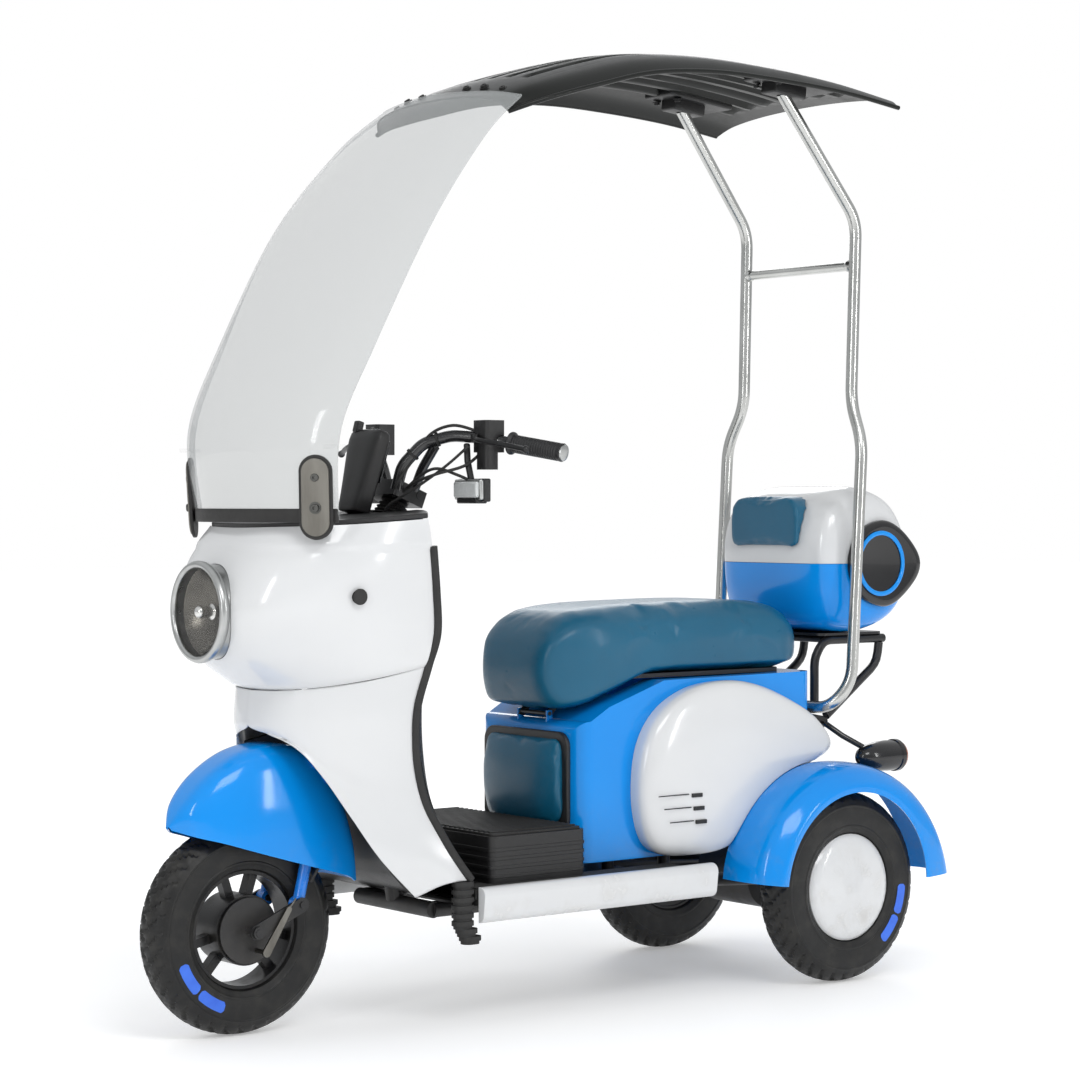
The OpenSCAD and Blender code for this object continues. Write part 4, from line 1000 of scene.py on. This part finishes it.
settle("box_lower", box_half(False), "chassis", blue_shell, ("box_base",), 50)
settle("box_upper", box_half(True), "box_lid", white_shell, ("box_lid",), 50)
cup_line = [Vector(p) for p in ((-86, 0), (-61, -61), (0, -87), (50, -76), (106, -26), (108, 18), (56, 70), (0, 87),
                                (-61, 61))]
cup_steps = [Vector(s) for s in ((1.6, 1), (8, 1), (12, 0.98), (14.5, 0.94), (16, 0.86), (15.4, 0.80))]
cup_ring = around(cup_line, 96)
cup_rings = []
for k in range(16):
    side, share = on_curve(cup_steps, k / 3)
    cup_rings.append([mm(166 + side, 812 + share * p.x, 812 + share * p.y) for p in cup_ring])
settle("side_cups", mirrored(lofted(cup_rings)), "chassis", gloss_black, ("box_cups",), 50)
ring_profile = [(0.057, 0.000), (0.057, 0.0018), (0.0585, 0.0030), (0.0645, 0.0030), (0.066, 0.0018), (0.066, 0.000)]
rings = mirrored(turned(ring_profile, mm(182.2, 806, 812), (1, 0, 0), 96))
settle("side_rings", rings, "chassis", blue_shell, ("cup_rings",), 40)
back_pad = stuffed("box_pad_cover", "box_pad", 0.004, 4, 0.004, "box_lid")
cover(back_pad, "box_lid", vinyl, ("box_pad",))

# ---------------------------------------------------------------------------
# Steering. The stem and its block, the bent bar and its braces, in black.
refine("steering_stem", frame_coat, 32, 0.002)
bar_points = [mm(*p) for p in ((34, -288, 950), (52, -284, 1002), (80, -258, 1042), (118, -222, 1056),
                               (150, -196, 1053), (195, -161, 1044), (308, -117, 1023.5))]
brace_points = [mm(*p) for p in ((34, -250, 946), (60, -246, 996), (92, -240, 1036))]
bars = joined(tube_along(bent(bar_points, 0.014), 0.011, 20), tube_along(bent(brace_points, 0.014), 0.009, 16))
bar_coat = Finish("black gloss bar", (0.012, 0.012, 0.013), 0.22, coat_weight=0.5)
bar_coat.rough(bar_coat.grain(70, 4) * 0.16 + 0.15)
settle("bars", mirrored(bars), "steering", bar_coat, ("handlebar",), 50)

# ---------------------------------------------------------------------------
# Grips. Ribbed rubber sleeves with a bright end cap.
grip_way = (bar_points[6] - bar_points[5]).normalized()
grip_rubber = Finish("grip rubber", (0.014, 0.014, 0.015), 0.45)
grip_rubber.rough(grip_rubber.grain(90, 4) * 0.2 + 0.34)
grip_rubber.relief(grip_rubber.grain(700, 2), 0.0003, 0.3)
grip_profile = [(0.0112, 0.0), (0.0205, 0.0), (0.0210, 0.0015), (0.0205, 0.004), (0.0165, 0.0055)]
for k in range(18):
    low = 0.008 + k * 0.0052
    grip_profile += [(0.0158, low), (0.0165, low + 0.0008), (0.0165, low + 0.0036), (0.0158, low + 0.0044)]
grip_profile += [(0.0165, 0.1030), (0.0168, 0.1090), (0.0150, 0.1100), (0.0112, 0.1100)]
end_profile = [(0.0, 0.1095), (0.0140, 0.1095), (0.0152, 0.1105), (0.0148, 0.1125), (0.0110, 0.1140), (0.0, 0.1145)]
for side, node, body in ((1, "left_grip", "steering"), (-1, "throttle_grip", "throttle")):
    way = Vector((side * grip_way.x, grip_way.y, grip_way.z))
    root = Vector((side * bar_points[5].x, bar_points[5].y, bar_points[5].z)) + way * 0.015
    settle(node + "_sleeve", turned(grip_profile, root, way, 40), body, grip_rubber, (node,), 60)
    settle(node + "_end", turned(end_profile, root, way, 40), body, ring_chrome, (), 50)

# ---------------------------------------------------------------------------
# Switches, horn button and brake levers.
refine("switch_pods", black_plastic, 35, 0.006, 4)
red_gloss = Finish("red button", (0.55, 0.03, 0.02), 0.25)
red_gloss.rough(red_gloss.grain(200) * 0.1 + 0.2)
refine("horn_button", red_gloss, 35, 0.001)
lever_black = Finish("cast lever", (0.03, 0.03, 0.031), 0.35, metallic=0.6)
lever_black.rough(lever_black.grain(200, 3) * 0.2 + 0.26)
refine("left_lever", lever_black, 60)
refine("right_lever", lever_black, 60)

# ---------------------------------------------------------------------------
# Front indicators. Black housings on stalks under the bar, with frosted
# clear lenses in a bright rim.
frosted = Finish("frosted lens", (0.62, 0.64, 0.64), 0.2, coat_weight=0.5)
frosted.shade(frosted.grain(90), (0.42, 0.44, 0.44), (0.72, 0.74, 0.74))
frosted.rough(frosted.grain(200) * 0.1 + 0.12)
frosted.relief(frosted.node("ShaderNodeTexWave", {"bands_direction": "X"}, {"Vector": frosted.place, "Scale": 90.0},
                            out="Fac"), 0.001, 0.6)
signal_stems = tube_along([mm(140, -204, 1041.6), mm(145, -206, 1010), mm(150, -201, 974)], 0.006, 14)
signal_backs = block((0.082, 0.016, 0.042), mm(150, -195, 957))
signal_foot = block((0.060, 0.026, 0.010), mm(150, -200, 938))
settle("front_signal_backs", mirrored(joined(signal_stems, signal_backs, signal_foot)), "steering", black_plastic,
       ("front_signals",), 40, 0, 0.003, 3)
signal_frame = block((0.080, 0.010, 0.038), mm(150, -206, 958))
settle("front_signal_frames", mirrored(signal_frame), "steering", ring_chrome, (), 30, 0, 0.004, 3)
lens = block((0.070, 0.010, 0.029), mm(150, -212, 958))
settle("front_signal_lenses", mirrored(lens), "steering", frosted, (), 30, 0, 0.004, 3)

# ---------------------------------------------------------------------------
# Wiring. Rubber sheathed leads from the switches and the indicators, tied to
# the bars and let into the stem.
leads = []
for route in ([(160, -180, 1030), (150, -214, 1002), (118, -256, 986), (80, -274, 972), (44, -276, 956)],
              [(150, -198, 972), (138, -222, 984), (112, -250, 996), (84, -266, 984), (44, -280, 952)],
              [(158, -196, 1064), (128, -226, 1074), (94, -252, 1058), (70, -270, 1016), (52, -296, 970),
               (36, -292, 946)]):
    leads.append(tube_along([mm(*place) for place in route], 0.0028, 10, 40))
settle("switch_leads", mirrored(joined(*leads)), "steering", soft_black, (), 60)
ties = [turned([(0.0118, -0.0022), (0.0132, -0.0022), (0.0132, 0.0022), (0.0118, 0.0022)], place, way, 24)
        for place, way in ((mm(66, -271, 1022), Vector((28, 26, 40))), (mm(100, -240, 1049), Vector((38, 36, 14))))]
settle("bar_ties", mirrored(joined(*ties)), "steering", soft_black, (), 40)

# ---------------------------------------------------------------------------
# Front mudguard. A blue ABS blade over the front wheel, turned with it.
blade_table = [(-745, 374, 8, -741, 368), (-722, 418, 48, -712, 357), (-680, 462, 68, -672, 346),
               (-618, 498, 79, -618, 329), (-552, 510, 82, -552, 309), (-486, 497, 82, -490, 291),
               (-428, 440, 80, -442, 277), (-397, 352, 77, -415, 268), (-390, 262, 72, -402, 260)]
crown_line = [Vector(r[:3]) for r in blade_table]
edge_line = [Vector((r[3], r[4], 0)) for r in blade_table]
blade = bmesh.new()
bmesh.ops.create_grid(blade, x_segments=48, y_segments=72, size=1)
for v in blade.verts:
    t, s = (v.co.y + 1) / 2 * 8, v.co.x
    top, low = on_curve(crown_line, t), on_curve(edge_line, t)
    drop = 1 - sqrt(max(0, 1 - abs(s) ** 3.5))
    v.co = mm(top.z * (1 if s > 0 else -1) * abs(s) ** 0.85, top.x + (low.x - top.x) * drop,
              top.y + (low.y - top.y) * drop)
walled(blade, 2, 1, 0.0033)
settle("front_mudguard", blade, "steering", blue_shell, ("front_fender",), 50)

# ---------------------------------------------------------------------------
# Fork, leading links and front brake. Blue legs and black links, with the
# cable down the left leg to the drum brake's arm.
fork_blue = Finish("blue fork coat", (0.004, 0.18, 0.68), 0.24, coat_weight=0.4)
fork_blue.rough(fork_blue.grain(60, 4) * 0.16 + 0.18)
refine("fork", fork_blue, 35, 0.0015)
refine("fork_links", frame_coat, 35, 0.001)
refine("brake_arm", plate_steel, 35, 0.0008)
cable_points = [mm(*p) for p in (
    (158, -214, 1036), (124, -240, 1000), (84, -276, 962), (62, -292, 946), (38, -304, 930), (20, -304, 912),
    (9, -314, 884), (5, -347.4, 801), (5, -402, 668), (8, -448, 556), (26, -454, 512), (29, -452, 480),
    (34, -444, 448), (50, -446, 400), (70, -458, 350), (76, -478, 300), (77, -500, 266))]
settle("brake_cable_sheath", tube_along(cable_points, 0.0026, 12, 120), "steering", soft_black,
       ("brake_cable",), 60)

# ---------------------------------------------------------------------------
# Wheels. Black cast rims in tubeless tyres with a block tread; the rear ones
# wear white dished caps.
tyre_rubber = Finish("tyre rubber", (0.008, 0.008, 0.008), 0.5, specular_ior_level=0.4)
tyre_dust = tyre_rubber.grain(30, 6).between(0.4, 0.75)
tyre_rubber.shade(tyre_dust, (0.005, 0.005, 0.005), (0.017, 0.016, 0.014))
tyre_rubber.rough(tyre_rubber.grain(100) * 0.2 + 0.36)
tyre_rubber.relief(tyre_rubber.grain(500, 2), 0.0004, 0.4)
rim_coat = Finish("black rim", (0.014, 0.014, 0.015), 0.32, metallic=0.3)
rim_dust = rim_coat.grain(25, 5).between(0.45, 0.75)
rim_coat.shade(rim_dust, (0.006, 0.006, 0.007), (0.025, 0.023, 0.02))
rim_coat.rough(rim_dust * 0.25 + rim_coat.grain(120) * 0.1 + 0.24)


def tyre(centre):
    """A tyre: bead, sidewall with two raised rings, and a tread with slanted grooves."""
    half = [(104.3, 28), (107, 33), (112, 35.5), (116, 36.8), (117.5, 38.0), (120.5, 38.2), (122, 37.4), (132, 38.8),
            (146, 39), (156, 38.4), (157.5, 39.2), (160, 39.0), (161.5, 37.6), (168, 35.2), (173, 32), (178, 27),
            (181.5, 21), (184, 14), (185.6, 7), (186, 0)]
    outline = [(r / 1000, h / 1000) for r, h in half] + [(r / 1000, -h / 1000) for r, h in half[-2::-1]]
    bm = turned(outline, Vector((0, 0, 0)), (0, 0, 1), 288)
    for v in bm.verts:
        r = hypot(v.co.x, v.co.y)
        if r < 0.170:
            continue
        turn = atan2(v.co.y, v.co.x) / (2 * pi) * 36 + abs(v.co.z) * 34
        side = 0.5 if v.co.z > 0 else 0.0
        cut = 1 if ((turn + side) % 1) < 0.24 and abs(v.co.z) > 0.006 else 0
        if abs(v.co.z) < 0.004 and ((turn * 2) % 1) < 0.5:
            cut = 0.6
        scale = (r - 0.0042 * cut) / r
        v.co.x *= scale
        v.co.y *= scale
    bmesh.ops.transform(bm, matrix=Matrix.Translation(centre) @ Matrix.Rotation(radians(90), 4, "Y"), verts=bm.verts)
    return bm


decal_blue = Finish("blue tyre decal", (0.02, 0.12, 0.75), 0.4)
decal_blue.shade(decal_blue.grain(40), (0.015, 0.09, 0.60), (0.05, 0.20, 0.85))


def decal(centre, side, start, sweep, low=0.1290, high=0.1490):
    """A thin printed arc on a tyre's side."""
    bm = bmesh.new()
    bmesh.ops.create_grid(bm, x_segments=24, y_segments=3, size=1)
    for v in bm.verts:
        turn = radians(start + (v.co.x + 1) / 2 * sweep)
        r = low + (v.co.y + 1) / 2 * (high - low)
        end = 1 - step(0.86, 1.0, abs(v.co.x)) * abs(v.co.y)
        r = (low + high) / 2 + (r - (low + high) / 2) * (0.45 + 0.55 * end)
        v.co = centre + Vector((side * 0.03935, cos(turn) * r, sin(turn) * r))
    walled(bm, 0, side, 0.0003)
    return bm


for name, centre, body, caps in (("front", mm(0, -606, 186), "front_wheel", False),
                                 ("rear_left", mm(262, 606, 186), "left_wheel", True),
                                 ("rear_right", mm(-262, 606, 186), "right_wheel", True)):
    settle(name + "_tyre_tread", tyre(centre), body, tyre_rubber, (name + "_tyre",), 30)
    refine(name + "_rim", rim_coat, 35, 0.0015)
    if caps:
        refine(name + "_cap", white_shell, 30, 0)
    sides = (1, -1) if not caps else ((1,) if centre.x > 0 else (-1,))
    arcs = [decal(centre, side, a, 24) for side in sides for a in ((-52, -26) if caps else (200, 226))]
    settle(name + "_decals", joined(*arcs), body, decal_blue, (), 40)
